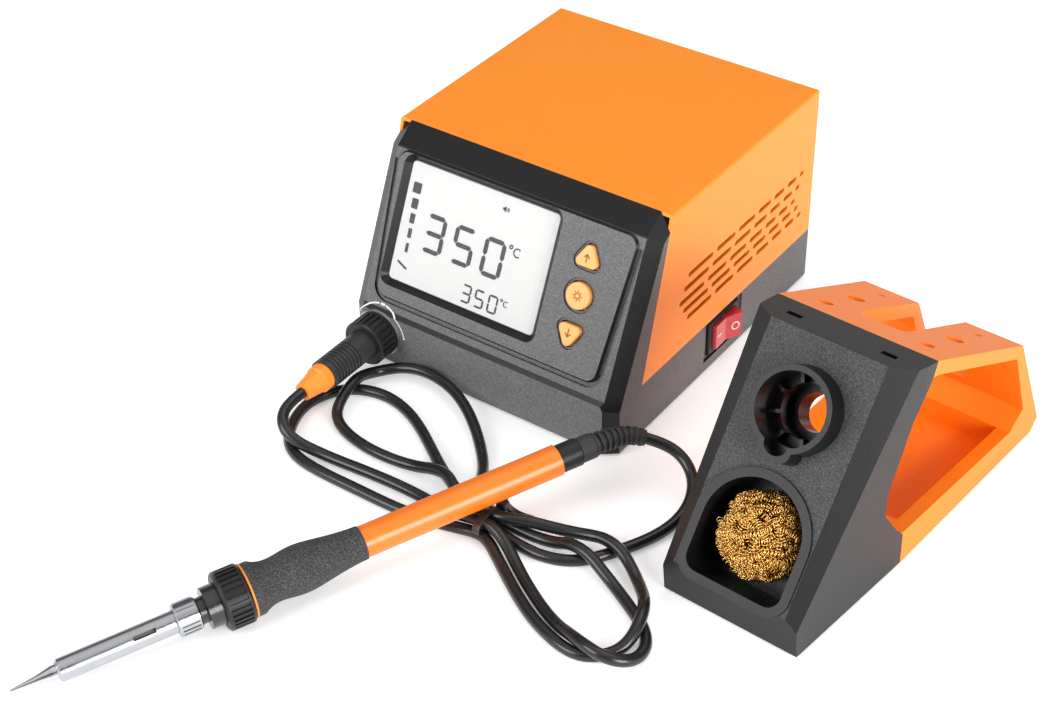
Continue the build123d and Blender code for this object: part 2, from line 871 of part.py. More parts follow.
def make_rocker_frame():
    """Switch body with its flange, pocket and pivot holes."""
    x1 = half - rocker_recess_depth
    ly, lz = rocker_flange_length / 2, rocker_flange_height / 2
    by, bz = rocker_body_length / 2, rocker_body_height / 2
    body = block(x1, x1 + rocker_flange_thick, rocker_y - ly, rocker_y + ly, rocker_z - lz, rocker_z + lz)
    body = chamfer(body.faces().sort_by(Axis.X)[-1].edges(), 0.5)
    body += block(x1 - rocker_body_depth, x1, rocker_y - by, rocker_y + by, rocker_z - bz, rocker_z + bz)
    px, py, pz = rocker_pivot()
    reach = rocker_radius + rocker_gap
    tall = rocker_half_height + rocker_gap
    body -= block(px - 5.6, px + 10, py - reach, py + reach, pz - tall, pz + tall)
    body -= rod(rocker_pin_radius + rocker_pin_gap, pz - tall - 0.95, pz + tall + 0.95, (px, py))
    for z in (-3.5, 3.5):
        body += block(x1 - rocker_body_depth - 6, x1 - rocker_body_depth + 0.5, py - 0.4, py + 0.4,
                pz + z - 2, pz + z + 2)
    return body


def make_rocker():
    """Rocker at its rest tilt, with its two stub pins."""
    r = rocker_radius
    profile = Circle(r)
    profile -= make_face(Polyline((2.4, 0), (4.6, 9), (12, 9), (12, -9), (4.6, -9), close=True))
    profile -= make_face(Polyline((-3.5, -9), (-3.5, 9), (-12, 9), (-12, -9), close=True))
    tall = rocker_half_height
    body = Pos(0, 0, -tall) * extrude(profile, amount=2 * tall)
    body += rod(rocker_pin_radius, -tall - rocker_pin_length, tall + rocker_pin_length)
    return Pos(*rocker_pivot()) * Rot(0, 0, -rocker_tilt) * body


# ---------------------------------------------------------------------------
# Socket and plug, about an axis that looks out of the front panel
# ---------------------------------------------------------------------------

def out_of_panel():
    """Place whose +Z looks straight out of the front panel at the socket."""
    return Pos(socket_x, 0, socket_z) * Rot(90, 0, 0)


def neck_end():
    """Height of the socket neck's end."""
    return socket_flange_thick + socket_neck_length


def make_socket():
    """Panel socket: flange, threaded neck and body."""
    body = rod(socket_flange_radius, 0, socket_flange_thick)
    body += rod(socket_neck_radius, socket_flange_thick, neck_end())
    body += rod(socket_body_radius, -socket_body_length, 0)
    return out_of_panel() * body


def make_socket_nut():
    """Nut behind the panel."""
    nut = extrude(RegularPolygon(socket_nut_radius, 6), amount=socket_nut_thick)
    nut -= rod(socket_body_radius + 0.05, -1, socket_nut_thick + 1)
    return out_of_panel() * (Pos(0, 0, -panel_wall - socket_nut_thick) * nut)


def make_plug_collar():
    """Knurled locking collar of the plug."""
    low = socket_flange_thick + 0.2
    high = low + collar_length
    body = rod(collar_radius, low, high)
    body = chamfer(body.edges().filter_by(GeomType.CIRCLE), 0.6)
    body -= rod(plug_flange_radius + collar_gap, low - 1, neck_end() + plug_flange_thick + 0.2)
    body -= rod(plug_radius + collar_gap, low, high + 1)
    body -= fluted(collar_radius, low + 1.2, high - 1.2, collar_flutes, 0.55, 1.0)
    return out_of_panel() * body


def make_plug_body():
    """Plug barrel with its flange and grip grooves."""
    low = neck_end()
    high = socket_flange_thick + 0.2 + collar_length + plug_length
    body = rod(plug_flange_radius, low, low + plug_flange_thick) + rod(plug_radius, low, high)
    for i in range(plug_grooves):
        z = high - 2.0 - i * 1.7
        body -= sleeve(plug_radius + 1, plug_radius - 0.4, z - 0.7, z)
    return out_of_panel() * body


def make_plug_boot():
    """Tapered bend protector at the plug's end."""
    low = socket_flange_thick + 0.2 + collar_length + plug_length
    end = low + boot_length
    outline = [(0, low), (boot_front_radius, low), (boot_front_radius, low + 3.4),
            (boot_front_radius - 0.6, low + 4.0)]
    outline += [(boot_end_radius, end), (0, end)]
    return out_of_panel() * turned(outline)


# ---------------------------------------------------------------------------
# Cord
# ---------------------------------------------------------------------------

def bend_radii(points):
    """Largest bend each corner's two runs allow, taking 0.45 of the shorter run."""
    radii = []
    for a, b, c in zip(points[:-2], points[1:-1], points[2:]):
        before = Vector(*b) - Vector(*a)
        after = Vector(*c) - Vector(*b)
        turn = radians(before.get_angle(after))
        radii.append(0.45 * min(before.length, after.length) / tan(turn / 2))
    return radii


def make_cord(name, points):
    """Round cord along straight runs joined by tangent arcs."""
    radii = bend_radii(points)
    path = FilletPolyline(*points, radius=radii)
    start = Plane(origin=points[0], z_dir=path % 0)
    body = sweep(start * Circle(cord_diameter / 2), path=path)
    expected = path.length * 3.14159265 * cord_diameter ** 2 / 4
    print(name, "length", round(path.length, 1), "volume ratio", round(body.volume / expected, 4))
    print(name, "bend radii", [round(r, 1) for r in radii])
    return body


def make_loops(outline, far_x):
    """Outer shape of one side of the tied cord: flat loops and the raised bundle near the tie."""
    rim = Spline(*outline[1:-1]) + Polyline(outline[-2], outline[-1], outline[0], outline[1])
    flat = extrude(make_face(rim), amount=loops_thick)
    x0, x1 = sorted((far_x, tie_x))
    bundle = block(x0, x1, bundle_y[0], bundle_y[1], bundle_z[0], bundle_z[1])
    near = block(tie_x - tie_width / 2, tie_x + tie_width / 2, -80, 80, -1, 50)
    side = -1 if far_x < tie_x else 1
    keep_side = block(min(tie_x, tie_x + side * 300), max(tie_x, tie_x + side * 300), -200, 200, -1, 50)
    return ((flat - near) & keep_side) + bundle


def make_tie():
    """Band round the bundle of cords."""
    y0, y1 = bundle_y
    z0, z1 = bundle_z
    w = tie_width / 2
    body = block(tie_x - w, tie_x + w, y0 - tie_thick, y1 + tie_thick, z0 - tie_thick, z1 + tie_thick)
    return body - block(tie_x - w - 1, tie_x + w + 1, y0, y1, z0, z1)


# ---------------------------------------------------------------------------
# Iron, along +Z from its tip
# ---------------------------------------------------------------------------

def make_tip():
    """Chrome tip: fine cone and hollow shank over the heater."""
    outline = [(0, 0), (tip_point_radius, 0), (1.5, 9.0), (tip_radius, tip_length - 1.5),
            (tip_radius, tip_length + 1.6)]
    outline += [(tip_shank_radius, tip_length + 1.6), (tip_shank_radius, tip_shank_end), (0, tip_shank_end)]
    return turned(outline) - rod(heater_radius + heater_gap, heater_start - 0.3, tip_shank_end + 1)


def make_heater():
    """Ceramic heater rod."""
    return rod(heater_radius, heater_start, heater_end)


def make_barrel():
    """Slotted steel sleeve that holds the tip."""
    inner = sleeve_radius - sleeve_wall
    r = sleeve_radius
    outline = [(tip_radius + 0.15, tip_length), (r - 0.8, tip_length), (r, tip_length + 0.9),
            (r, sleeve_end)]
    outline += [(sleeve_flange_radius, sleeve_end),
            (sleeve_flange_radius, sleeve_end + sleeve_flange_thick)]
    outline += [(inner, sleeve_end + sleeve_flange_thick), (inner, tip_length + 1.2),
            (tip_radius + 0.15, tip_length + 1.2)]
    body = turned(outline)
    cutter = Pos(r, 0, (slot_start + slot_end) / 2) * Box(2.4, slot_width, slot_end - slot_start)
    return body - [Rot(0, 0, 45 + 360.0 * i / slot_count) * cutter for i in range(slot_count)]


def make_sleeve_nut():
    """Knurled nut that clamps the barrel."""
    body = rod(nut_radius, nut_start, nut_end)
    body = chamfer(body.edges().filter_by(GeomType.CIRCLE), 0.5)
    body -= rod(sleeve_radius + nut_gap, nut_start - 1, nut_end)
    body -= rod(neck_radius + nut_gap, sleeve_end - 0.1, nut_end + 1)
    return body - fluted(nut_radius, nut_start + 1.0, nut_end - 1.0, nut_flutes, 0.4, 0.8)


def make_front_collar():
    """Threaded neck, collar and the hub inside the lock ring."""
    body = rod(neck_radius, sleeve_end + sleeve_flange_thick + 0.05, collar_front)
    body += rod(front_collar_radius, collar_front, hub_start) + rod(hub_radius, hub_start, hub_end)
    body -= rod(heater_radius + heater_gap, 40, heater_end + 0.2)
    return body - rod(tube_spigot_radius + 0.05, heater_end, hub_end + 1)


def make_lock_ring():
    """Knurled ring that locks the handle to the front."""
    body = rod(ring_radius, ring_start, ring_end)
    body = chamfer(body.edges().filter_by(GeomType.CIRCLE), 0.8)
    body -= rod(front_collar_radius + ring_gap, ring_start - 1, ring_end)
    body -= rod(hub_radius + ring_gap, hub_start - 0.1, ring_end + 1)
    return body - fluted(ring_radius, ring_start + 1.4, ring_end - 1.4, ring_flutes, 0.6, 1.1)


def make_seal():
    """Thin coloured ring between the lock ring and the grip."""
    return sleeve(seal_radius, tube_spigot_radius + 0.05, hub_end + 0.2, seal_end)


def make_grip():
    """Soft sleeve, flanged in front, waisted and tapering to the tube."""
    bore = tube_spigot_radius + 0.05
    spline = Spline(
        (grip_flange_radius, seal_end + 2.6), (grip_waist_radius, seal_end + 8.0), (grip_belly_radius,
                seal_end + 16.5),
        (7.4, seal_end + 27.0), (tube_radius + 0.35, grip_end),
    )
    rest = Polyline(
        (tube_radius + 0.35, grip_end), (bore, grip_end), (bore, seal_end), (grip_flange_radius, seal_end),
        (grip_flange_radius, seal_end + 2.6),
    )
    return revolve(Plane.XZ * make_face(spline + rest), Axis.Z)


def make_tube():
    """Handle tube with a thinner front spigot."""
    body = rod(tube_spigot_radius, heater_end + 0.2, grip_end) + rod(tube_radius, grip_end, tube_end)
    return body - rod(tube_bore_radius, heater_end, tube_end + 1)


def make_cap():
    """Rear cap, plugged into the tube."""
    body = rod(cap_radius, tube_end, cap_end) + rod(tube_bore_radius - 0.05, tube_end - 8, tube_end)
    body = chamfer(body.edges().filter_by(GeomType.CIRCLE).sort_by(Axis.Z)[-1:], 0.5)
    return body - rod(2.2, tube_end - 9, cap_end + 1)


def make_relief():
    """Ribbed, tapering bend protector that curls from the cap to the cord."""
    axis = iron_axis.normalized()
    back = Vector(*iron_tip) + axis * cap_end
    start = Vector(*iron_tip) + axis * relief_collar_end
    points = [tuple(start)] + relief_bends + [iron_run[0]]
    path = FilletPolyline(*points, radius=bend_radii(points))
    body = sweep(Plane(origin=start, z_dir=path % 0) * Circle(relief_core_radius), path=path)
    collar = Plane(origin=back, z_dir=axis) * Circle(relief_collar_radius)
    body += extrude(collar, amount=relief_collar_end - cap_end + 0.5)
    for i in range(relief_ribs):
        t = (i + 0.6) / relief_ribs * 0.97
        radius = relief_rib_radius + (relief_tip_radius - relief_rib_radius) * i / (relief_ribs - 1)
        here = Plane(origin=path @ t, z_dir=path % t)
        body += extrude(here * Circle(radius), amount=relief_rib_thick / 2, both=True)
    return body


# ---------------------------------------------------------------------------
# Stand, in its own frame: +Y to its back
# ---------------------------------------------------------------------------

def stand_plan(inset=0.0):
    """Plan of the stand: narrow in front and wider behind."""
    y0, y1 = -20.0, 170.0
    front = stand_front_half + y0 * stand_flare - inset
    back = stand_front_half + 60 * stand_flare + (y1 - 60) * 0.0245 - inset
    middle = stand_front_half + 60 * stand_flare - inset
    outline = [(-front, y0), (front, y0), (middle, 60), (back, y1), (-back, y1), (-middle, 60)]
    return extrude(make_face(Polyline(*outline, close=True)), amount=120)


def cavity_sketch(grow=0.0):
    """Arch shape of the wool cavity on the stand's face."""
    r = cavity_half + grow
    top = Pos(0, cavity_low_v + cavity_half + 1.5) * Circle(r)
    low = cavity_low_v - grow
    height = cavity_half + 1.5 + grow
    foot = Pos(0, low + height / 2) * Rectangle(2 * r, height)
    foot = fillet(foot.vertices().group_by(Axis.Y)[0], cavity_corner + grow)
    return top + foot


def holder_sketch(radius, grow=0.0):
    """Round holder outline with a scoop that points down the face."""
    ring = Circle(radius + grow)
    scoop = Pos(0, -9.0) * Rectangle(13.0 + 2 * grow, 17.5 + 2 * grow)
    scoop = fillet(scoop.vertices().group_by(Axis.Y)[0], 4.0)
    return Pos(0, holder_v) * (ring + scoop)


def make_shell():
    """Front shell of the stand."""
    body = slice_x(shell_outline, -45, 45) & stand_plan()
    body -= corner_cut(shell_outline[1:3], stand_front_half + 1.6, shell_cut_across, shell_cut_in)
    inner_points = [
        (shell_wall, -1.0), (0.9, 16.2), (50.0, 83.9), (60.0, 81.2), (80.0, 70.0), (80.0, -1.0),
    ]
    body -= slice_x(inner_points, -45, 45) & stand_plan(shell_wall + 2.0)
    body -= extrude(stand_face.offset(5) * cavity_sketch(cup_wall + holder_gap), amount=-14)
    seat = Pos(0, holder_v) * Circle(holder_inner_radius + 1.2 + holder_gap)
    body -= extrude(stand_face.offset(5) * seat, amount=-12)
    for side in (-1, 1):
        body -= Pos(side * 17.5, 56.5, 84.6) * Box(5.6, 2.4, 3.0)
        x0, x1 = sorted((side * 13.0, side * 27.0))
        body += block(x0, x1, 20, 30, foot_height, foot_height + 3)
    bar = block(-45, 45, stand_bar_y[0], stand_bar_y[1], foot_height + frame_floor,
            foot_height + frame_floor + 2.8)
    body += bar & stand_plan(1.0)
    for x, y in stand_screw_spots():
        body -= rod(screw_radius, 0, 12, (x, y))
    return body


def make_cup():
    """Liner cup that holds the wool, with a rounded rim on the face."""
    outer = extrude(stand_face * cavity_sketch(cup_wall), amount=-cavity_depth - cup_wall)
    rim = extrude(stand_face * cavity_sketch(cup_wall + cup_rim_width), amount=cup_rim_rise)
    body = outer + rim
    return body - extrude(stand_face.offset(cup_rim_rise + 1) * cavity_sketch(),
            amount=-cavity_depth - cup_rim_rise - 1)


def make_wool():
    """Cleaning wool, as its outer shape."""
    body = rod(wool_radius, -wool_half_depth, wool_half_depth)
    body = fillet(body.edges().filter_by(GeomType.CIRCLE), wool_half_depth - 1.0)
    centre_v = cavity_low_v + cavity_half + 0.5
    return Location(stand_face) * (Pos(0, centre_v, -wool_sink) * body)


def make_holder():
    """Iron holder: raised collar with a scoop, stepped bore and ribs."""
    tube = holder_inner_radius + 1.2
    body = extrude(stand_face * (Pos(0, holder_v) * Circle(tube)), amount=-holder_depth)
    collar = holder_sketch(holder_radius)
    body += extrude(stand_face.offset(0.02) * collar, amount=holder_rise, taper=4)
    centre = Pos(0, holder_v)
    body -= extrude(stand_face.offset(-holder_cup_depth) * (centre * Circle(holder_inner_radius)),
            amount=40)
    mouth = holder_sketch(holder_inner_radius, -2.2)
    body -= extrude(stand_face.offset(0.8) * mouth, amount=40)
    body -= extrude(stand_face.offset(-holder_step_depth) * (centre * Circle(holder_step_radius)),
            amount=40)
    body -= extrude(stand_face.offset(-holder_depth - 1) * (centre * Circle(holder_bore_radius)), amount=40)
    for i in range(holder_ribs):
        angle = 360.0 * i / holder_ribs + 22.5
        reach = (holder_step_radius + holder_inner_radius) / 2 + 0.2
        rib = centre * Rot(0, 0, angle) * Pos(reach,
                0) * Rectangle(holder_inner_radius - holder_step_radius + 0.6, 1.2)
        body += extrude(stand_face.offset(-holder_step_depth) * rib, amount=holder_step_depth - 1.0)
    return body


def make_frame():
    """Rear frame of the stand: holed top plate, rear wall, side beams and floor."""
    whole = slice_x(frame_outline, -45, 45)
    inside = slice_x(frame_window, -45, 45)
    band = whole - inside
    body = band & stand_plan()
    floor_cut = block(-60, 60, 62, 129, foot_height + frame_floor, 40)
    body -= floor_cut & stand_plan(frame_beam_width)
    body -= extrude(Plane.XY.offset(notch_low_z) * notch_sketch(), amount=80)
    down = atan2(82.2 - 51.7, 128.0 - 66.3)
    plate = Plane(origin=(0, 66.3, 82.2), x_dir=(1, 0, 0), z_dir=(0, sin(down), cos(down)))
    for along, radius in tip_holes:
        for side in (-1, 1):
            hole = plate * (Pos(side * tip_hole_x, along) * Circle(radius))
            body -= extrude(hole, amount=8, both=True)
    body += block(-20, 20, stand_bar_y[0], 63, foot_height, foot_height + frame_floor)
    for x, y in stand_screw_spots():
        body -= rod(screw_radius + 0.15, 0, 12, (x, y))
        body -= rod(screw_head_radius + 0.3, 0, foot_height + screw_head_height, (x, y))
    return body


def notch_sketch():
    """Plan of the notch between the two arms, rounded at its closed end."""
    y0 = 66.3 + notch_start
    sketch = Pos(0, y0 + 60) * Rectangle(2 * notch_half, 120)
    return fillet(sketch.vertices().group_by(Axis.Y)[0], 5.0)


def stand_foot_spots():
    """Centres of the stand's feet."""
    return [(-18, 25), (18, 25), (-22, 136), (22, 136)]


def make_stand_feet():
    """Rubber feet under the stand."""
    pieces = [rod(stand_foot_radius, 0, foot_height, spot) for spot in stand_foot_spots()]
    return group(pieces)


def stand_screw_spots():
    """Screws that join the frame's tongue to the shell's crossbar."""
    middle = (stand_bar_y[0] + stand_bar_y[1]) / 2
    return [(-14, middle), (14, middle)]


def make_stand_screws():
    """Screws from below through the frame into the shell."""
    top = foot_height + screw_head_height
    pieces = []
    for spot in stand_screw_spots():
        body = rod(screw_head_radius, foot_height, top, spot)
        pieces.append(body + rod(screw_radius - 0.02, top, top + 3.8, spot))
    return group(pieces)


# ---------------------------------------------------------------------------
# Build everything and write one file for each piece
# ---------------------------------------------------------------------------

keep("front_panel", make_front_panel(), station)
keep("display_window", make_window(), station)
keep("display_module", make_display(), station)
for button_name in button_rows:
    keep(button_name, make_button(button_name), station)
keep("control_board", make_control_board(), station)
keep("key_switches", make_key_switches(), station)
keep("buzzer", make_buzzer(), station)
keep("control_board_screws", make_control_screws(), station)
keep("top_cover", make_cover(), station)
keep("base_tray", make_tray(), station)
keep("rear_panel", make_rear_panel(), station)
keep("mains_gland", make_gland(), station)
keep("mains_gland_nut", make_gland_nut(), station)
keep("rear_screws", make_rear_screws(), station)
keep("station_feet", make_station_feet(), station)
keep("base_screws", make_base_screws(), station)
keep("power_board", make_power_board(), station)
keep("power_board_screws", make_board_screws(), station)
keep("heatsink", make_heatsink(), station)
keep("triac", make_triac(), station)
keep("capacitors", make_capacitors(), station)
keep("fuse_clips", make_fuse_holder(), station)
keep("fuse", make_fuse(), station)
keep("transformer_core", make_core(), station)
keep("transformer_winding", make_winding(), station)
keep("transformer_strap", make_strap(), station)
keep("transformer_screws", make_strap_screws(), station)
keep("rocker_frame", make_rocker_frame(), station)
keep("rocker_switch", make_rocker(), station)
keep("iron_socket", make_socket(), station)
keep("socket_nut", make_socket_nut(), station)
keep("plug_collar", make_plug_collar(), station)
keep("plug_body", make_plug_body(), station)
keep("plug_boot", make_plug_boot(), station)
keep("cord_plug_end", make_cord("cord_plug_end", plug_run))
keep("cord_loops_left", make_loops(loops_left_outline, bundle_left_x))
keep("cord_loops_right", make_loops(loops_right_outline, bundle_right_x))
keep("cord_iron_end", make_cord("cord_iron_end", iron_run))
keep("cord_tie", make_tie())
keep("iron_tip", make_tip(), iron)
keep("heater_rod", make_heater(), iron)
keep("barrel_sleeve", make_barrel(), iron)
keep("barrel_nut", make_sleeve_nut(), iron)
keep("front_collar", make_front_collar(), iron)
keep("lock_ring", make_lock_ring(), iron)
keep("grip_ring", make_seal(), iron)
keep("foam_grip", make_grip(), iron)
keep("handle_tube", make_tube(), iron)
keep("rear_cap", make_cap(), iron)
keep("strain_relief", make_relief())
keep("stand_shell", make_shell(), stand)
keep("wool_cup", make_cup(), stand)
keep("brass_wool", make_wool(), stand)
keep("iron_holder", make_holder(), stand)
keep("stand_frame", make_frame(), stand)
keep("stand_feet", make_stand_feet(), stand)
keep("stand_screws", make_stand_screws(), stand)

os.makedirs("parts", exist_ok=True)
for part_name, part_shape in parts.items():
    export_step(part_shape, "parts/" + part_name + ".step")
print(len(parts), "nodes written")
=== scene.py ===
import logging
import math
import random
from dataclasses import dataclass, field
from enum import Enum
from typing import Callable

import bmesh
import bpy
from mathutils import Matrix, Vector


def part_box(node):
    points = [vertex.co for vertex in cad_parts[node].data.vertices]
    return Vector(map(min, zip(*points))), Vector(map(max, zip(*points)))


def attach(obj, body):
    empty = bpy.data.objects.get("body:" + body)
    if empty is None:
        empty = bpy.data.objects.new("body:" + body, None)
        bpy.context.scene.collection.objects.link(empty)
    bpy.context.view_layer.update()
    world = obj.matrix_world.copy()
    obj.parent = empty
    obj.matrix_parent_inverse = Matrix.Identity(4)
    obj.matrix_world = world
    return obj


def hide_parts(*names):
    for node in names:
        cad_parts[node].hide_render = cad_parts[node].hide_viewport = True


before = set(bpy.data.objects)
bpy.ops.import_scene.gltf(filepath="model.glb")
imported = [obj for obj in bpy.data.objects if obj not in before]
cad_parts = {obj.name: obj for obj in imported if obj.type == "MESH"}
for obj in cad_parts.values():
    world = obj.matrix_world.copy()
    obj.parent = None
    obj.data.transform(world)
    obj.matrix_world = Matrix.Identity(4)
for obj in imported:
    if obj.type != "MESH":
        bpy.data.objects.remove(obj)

log = logging.getLogger("soldering_station")
logging.basicConfig(level=logging.INFO, format="%(message)s")

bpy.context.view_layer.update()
MM = 0.001
Colour = tuple[float, float, float]
Point = tuple[float, float, float]


# ------------------------------
# Places: the frames that the units are drawn in
# ------------------------------

def axes(origin: Point, across: Point, up: Point) -> Matrix:
    """Frame with +X across, +Y up a face and +Z out of it.

    Args:
        origin: Where the frame sits, in millimetres.
        across: Direction of +X.
        up: Direction of +Y.

    Returns:
        The frame as a matrix in metres.
    """
    x = Vector(across).normalized()
    y = Vector(up)
    y = (y - x * y.dot(x)).normalized()
    z = x.cross(y)
    rows = Matrix((x, y, z)).transposed().to_4x4()
    return Matrix.Translation(Vector(origin) * MM) @ rows


class Place:
    """Frames of the power unit and the stand, in metres."""

    station: Matrix = Matrix.Translation((-0.0583, 0.026, 0.0))
    stand: Matrix = Matrix.Translation((0.0778, -0.0201, 0.0)) @ Matrix.Rotation(math.radians(-3.3), 4, "Z")
    face: Matrix = station @ axes((0, 1.5, 24.0), (1, 0, 0), (0, 26.1, 56.0))
    panel: Matrix = station @ axes((-46.5, 0, 14.0), (1, 0, 0), (0, 0, 1))
    pivot: Matrix = station @ Matrix.Translation((0.0592, 0.075, 0.0144))
    rocker: Matrix = pivot @ Matrix.Rotation(math.radians(-12), 4, "Z")
    wool: Matrix = stand @ axes((0, -1.8, 16.9), (1, 0, 0), (0, 50.7, 69.9))


# ------------------------------
# Shading: sockets that take part in arithmetic, and the finishes
# ------------------------------

class Signal:
    """A number that comes out of a node, for use in expressions."""

    def __init__(self, sheet: "Sheet", socket: bpy.types.NodeSocket) -> None:
        """Keep the socket and the sheet that it is drawn on."""
        self.sheet = sheet
        self.socket = socket

    def _maths(self, operation: str, *values: "Signal | float") -> "Signal":
        """Add one Math node over the values."""
        made = self.sheet.node("ShaderNodeMath", {"operation": operation}, dict(enumerate(values)))
        return self.sheet.signal(made)

    def __add__(self, other: "Signal | float") -> "Signal":
        """Sum."""
        return self._maths("ADD", self, other)

    def __mul__(self, other: "Signal | float") -> "Signal":
        """Product."""
        return self._maths("MULTIPLY", self, other)

    def __sub__(self, other: "Signal | float") -> "Signal":
        """Difference."""
        return self._maths("SUBTRACT", self, other)

    def __rsub__(self, other: float) -> "Signal":
        """Difference from a plain number."""
        return self._maths("SUBTRACT", other, self)

    def __gt__(self, other: float) -> "Signal":
        """One where the signal is above a number, else nought."""
        return self._maths("GREATER_THAN", self, other)

    __radd__ = __add__
    __rmul__ = __mul__

    def higher(self, other: "Signal") -> "Signal":
        """The higher of two signals."""
        return self._maths("MAXIMUM", self, other)


class Sheet:
    """The node sheet of one material, or of the sky."""

    def __init__(self, owner: bpy.types.Material | bpy.types.World) -> None:
        """Switch on the owner's nodes and find its shader.

        Args:
            owner: The material or world to draw.
        """
        owner.use_nodes = True
        self.tree = owner.node_tree
        nodes = self.tree.nodes
        self.shader = nodes.get("Principled BSDF") or nodes["Background"]

    def node(self, kind: str, settings: dict | None = None, inputs: dict | None = None) -> bpy.types.Node:
        """Add a node.

        Args:
            kind: The node's type.
            settings: Its own settings, set first, with a ramp's stops under "stops".
            inputs: Values, signals or sockets for its inputs, by name or number.

        Returns:
            The new node.
        """
        made = self.tree.nodes.new(kind)
        for key, value in (settings or {}).items():
            if key == "stops":
                self.grade(made.color_ramp, value)
            else:
                setattr(made, key, value)
        for key, value in (inputs or {}).items():
            self.feed(made.inputs[key], value)
        return made

    @staticmethod
    def grade(ramp: bpy.types.ColorRamp, stops: tuple[tuple[float, float], ...]) -> None:
        """Give a ramp its stops, as pairs of place and grey value."""
        for place, _ in stops[1:-1]:
            ramp.elements.new(place)
        for element, (place, value) in zip(ramp.elements, stops):
            element.position = place
            element.color = (value, value, value, 1.0)

    def feed(self, socket: bpy.types.NodeSocket, value: object) -> None:
        """Set an input to a value, or link it to a signal or socket."""
        if isinstance(value, Signal):
            value = value.socket
        if isinstance(value, bpy.types.NodeSocket):
            self.tree.links.new(value, socket)
        else:
            socket.default_value = value

    def signal(self, made: bpy.types.Node, output: int | str = 0) -> Signal:
        """One output of a node as a signal."""
        return Signal(self, made.outputs[output])

    def place(self) -> bpy.types.NodeSocket:
        """The piece's own coordinates in metres."""
        return self.node("ShaderNodeTexCoord").outputs["Object"]

    def normal(self) -> bpy.types.NodeSocket:
        """The direction that the surface looks in."""
        return self.node("ShaderNodeTexCoord").outputs["Normal"]

    def stretched(self, turn: Point, scale: Point) -> bpy.types.NodeSocket:
        """Coordinates turned, then scaled, for a grain with a direction."""
        inputs = {"Vector": self.place(), "Rotation": turn, "Scale": scale}
        return self.node("ShaderNodeMapping", {"vector_type": "TEXTURE"}, inputs).outputs[0]

    def noise(self, size: float, detail: float = 2.0, where: bpy.types.NodeSocket | None = None) -> Signal:
        """Noise whose lumps are about the given size in metres."""
        inputs = {"Vector": where or self.place(), "Scale": 1.0 / size, "Detail": detail, "Roughness": 0.55}
        return self.signal(self.node("ShaderNodeTexNoise", None, inputs))

    def ramp(self, value: Signal, low: float, high: float) -> Signal:
        """Nought below one value, one above another."""
        inputs = {"Value": value, "From Min": low, "From Max": high}
        return self.signal(self.node("ShaderNodeMapRange", {"clamp": True}, inputs))

    def blend(self, amount: Signal | float, first: object, second: object) -> bpy.types.NodeSocket:
        """Mix two colours.

        Args:
            amount: Share of the second colour.
            first: Colour or socket at nought.
            second: Colour or socket at one.

        Returns:
            The mixed colour's socket.
        """
        made = self.node("ShaderNodeMix", {"data_type": "RGBA"}, {0: amount})
        for socket, value in ((made.inputs[6], first), (made.inputs[7], second)):
            self.feed(socket, (*value, 1.0) if isinstance(value, tuple) else value)
        return made.outputs[2]

    def facing(self, direction: Point) -> Signal:
        """How squarely the surface looks in a direction."""
        inputs = {0: self.normal(), 1: direction}
        made = self.node("ShaderNodeVectorMath", {"operation": "DOT_PRODUCT"}, inputs)
        return self.signal(made, "Value")

    def bump(self, height: Signal, depth: float, strength: float = 1.0) -> None:
        """Raise the surface by a height map of the given depth in metres."""
        made = self.node("ShaderNodeBump", None, {"Height": height, "Distance": depth, "Strength": strength})
        self.feed(self.shader.inputs["Normal"], made.outputs[0])

    def set(self, **values: object) -> None:
        """Set the shader's own sockets, with underscores for spaces."""
        for key, value in values.items():
            if isinstance(value, tuple) and len(value) == 3:
                value = (*value, 1.0)
            self.feed(self.shader.inputs[key.replace("_", " ")], value)


def shade(colour: Colour, factor: float) -> Colour:
    """A colour made lighter or darker."""
    return tuple(min(1.0, c * factor) for c in colour)


MADE: dict[str, bpy.types.Material] = {}


class Finish:
    """What every finish can do."""

    name: str

    def build(self) -> bpy.types.Material:
        """The finish as a material, made once."""
        made = MADE.get(self.name)
        if made is None:
            made = MADE[self.name] = bpy.data.materials.new(f"finish_{self.name}")
            self.draw(Sheet(made))
        return made

    def draw(self, sheet: Sheet) -> None:
        """Draw the finish on its sheet."""
        raise NotImplementedError


@dataclass(frozen=True)
class Moulded(Finish):
    """Moulded or painted surface with a fine grain and a little mottling."""

    name: str
    colour: Colour
    roughness: float = 0.5
    grain: float = 0.0006
    depth: float = 0.00004
    mottle: float = 0.06
    coat: float = 0.0
    specular: float = 0.5

    def draw(self, sheet: Sheet) -> None:
        """Grain in the bump, mottling in colour and gloss."""
        broad = sheet.noise(0.018, 3.0)
        fine = sheet.noise(self.grain)
        tint = sheet.blend(broad, shade(self.colour, 1 - self.mottle), shade(self.colour, 1 + self.mottle))
        sheet.set(Base_Color=tint, Roughness=self.roughness + (fine - 0.5) * 0.12 + (broad - 0.5) * 0.08)
        sheet.set(Coat_Weight=self.coat, Coat_Roughness=0.15, Specular_IOR_Level=self.specular)
        sheet.bump(fine, self.depth)


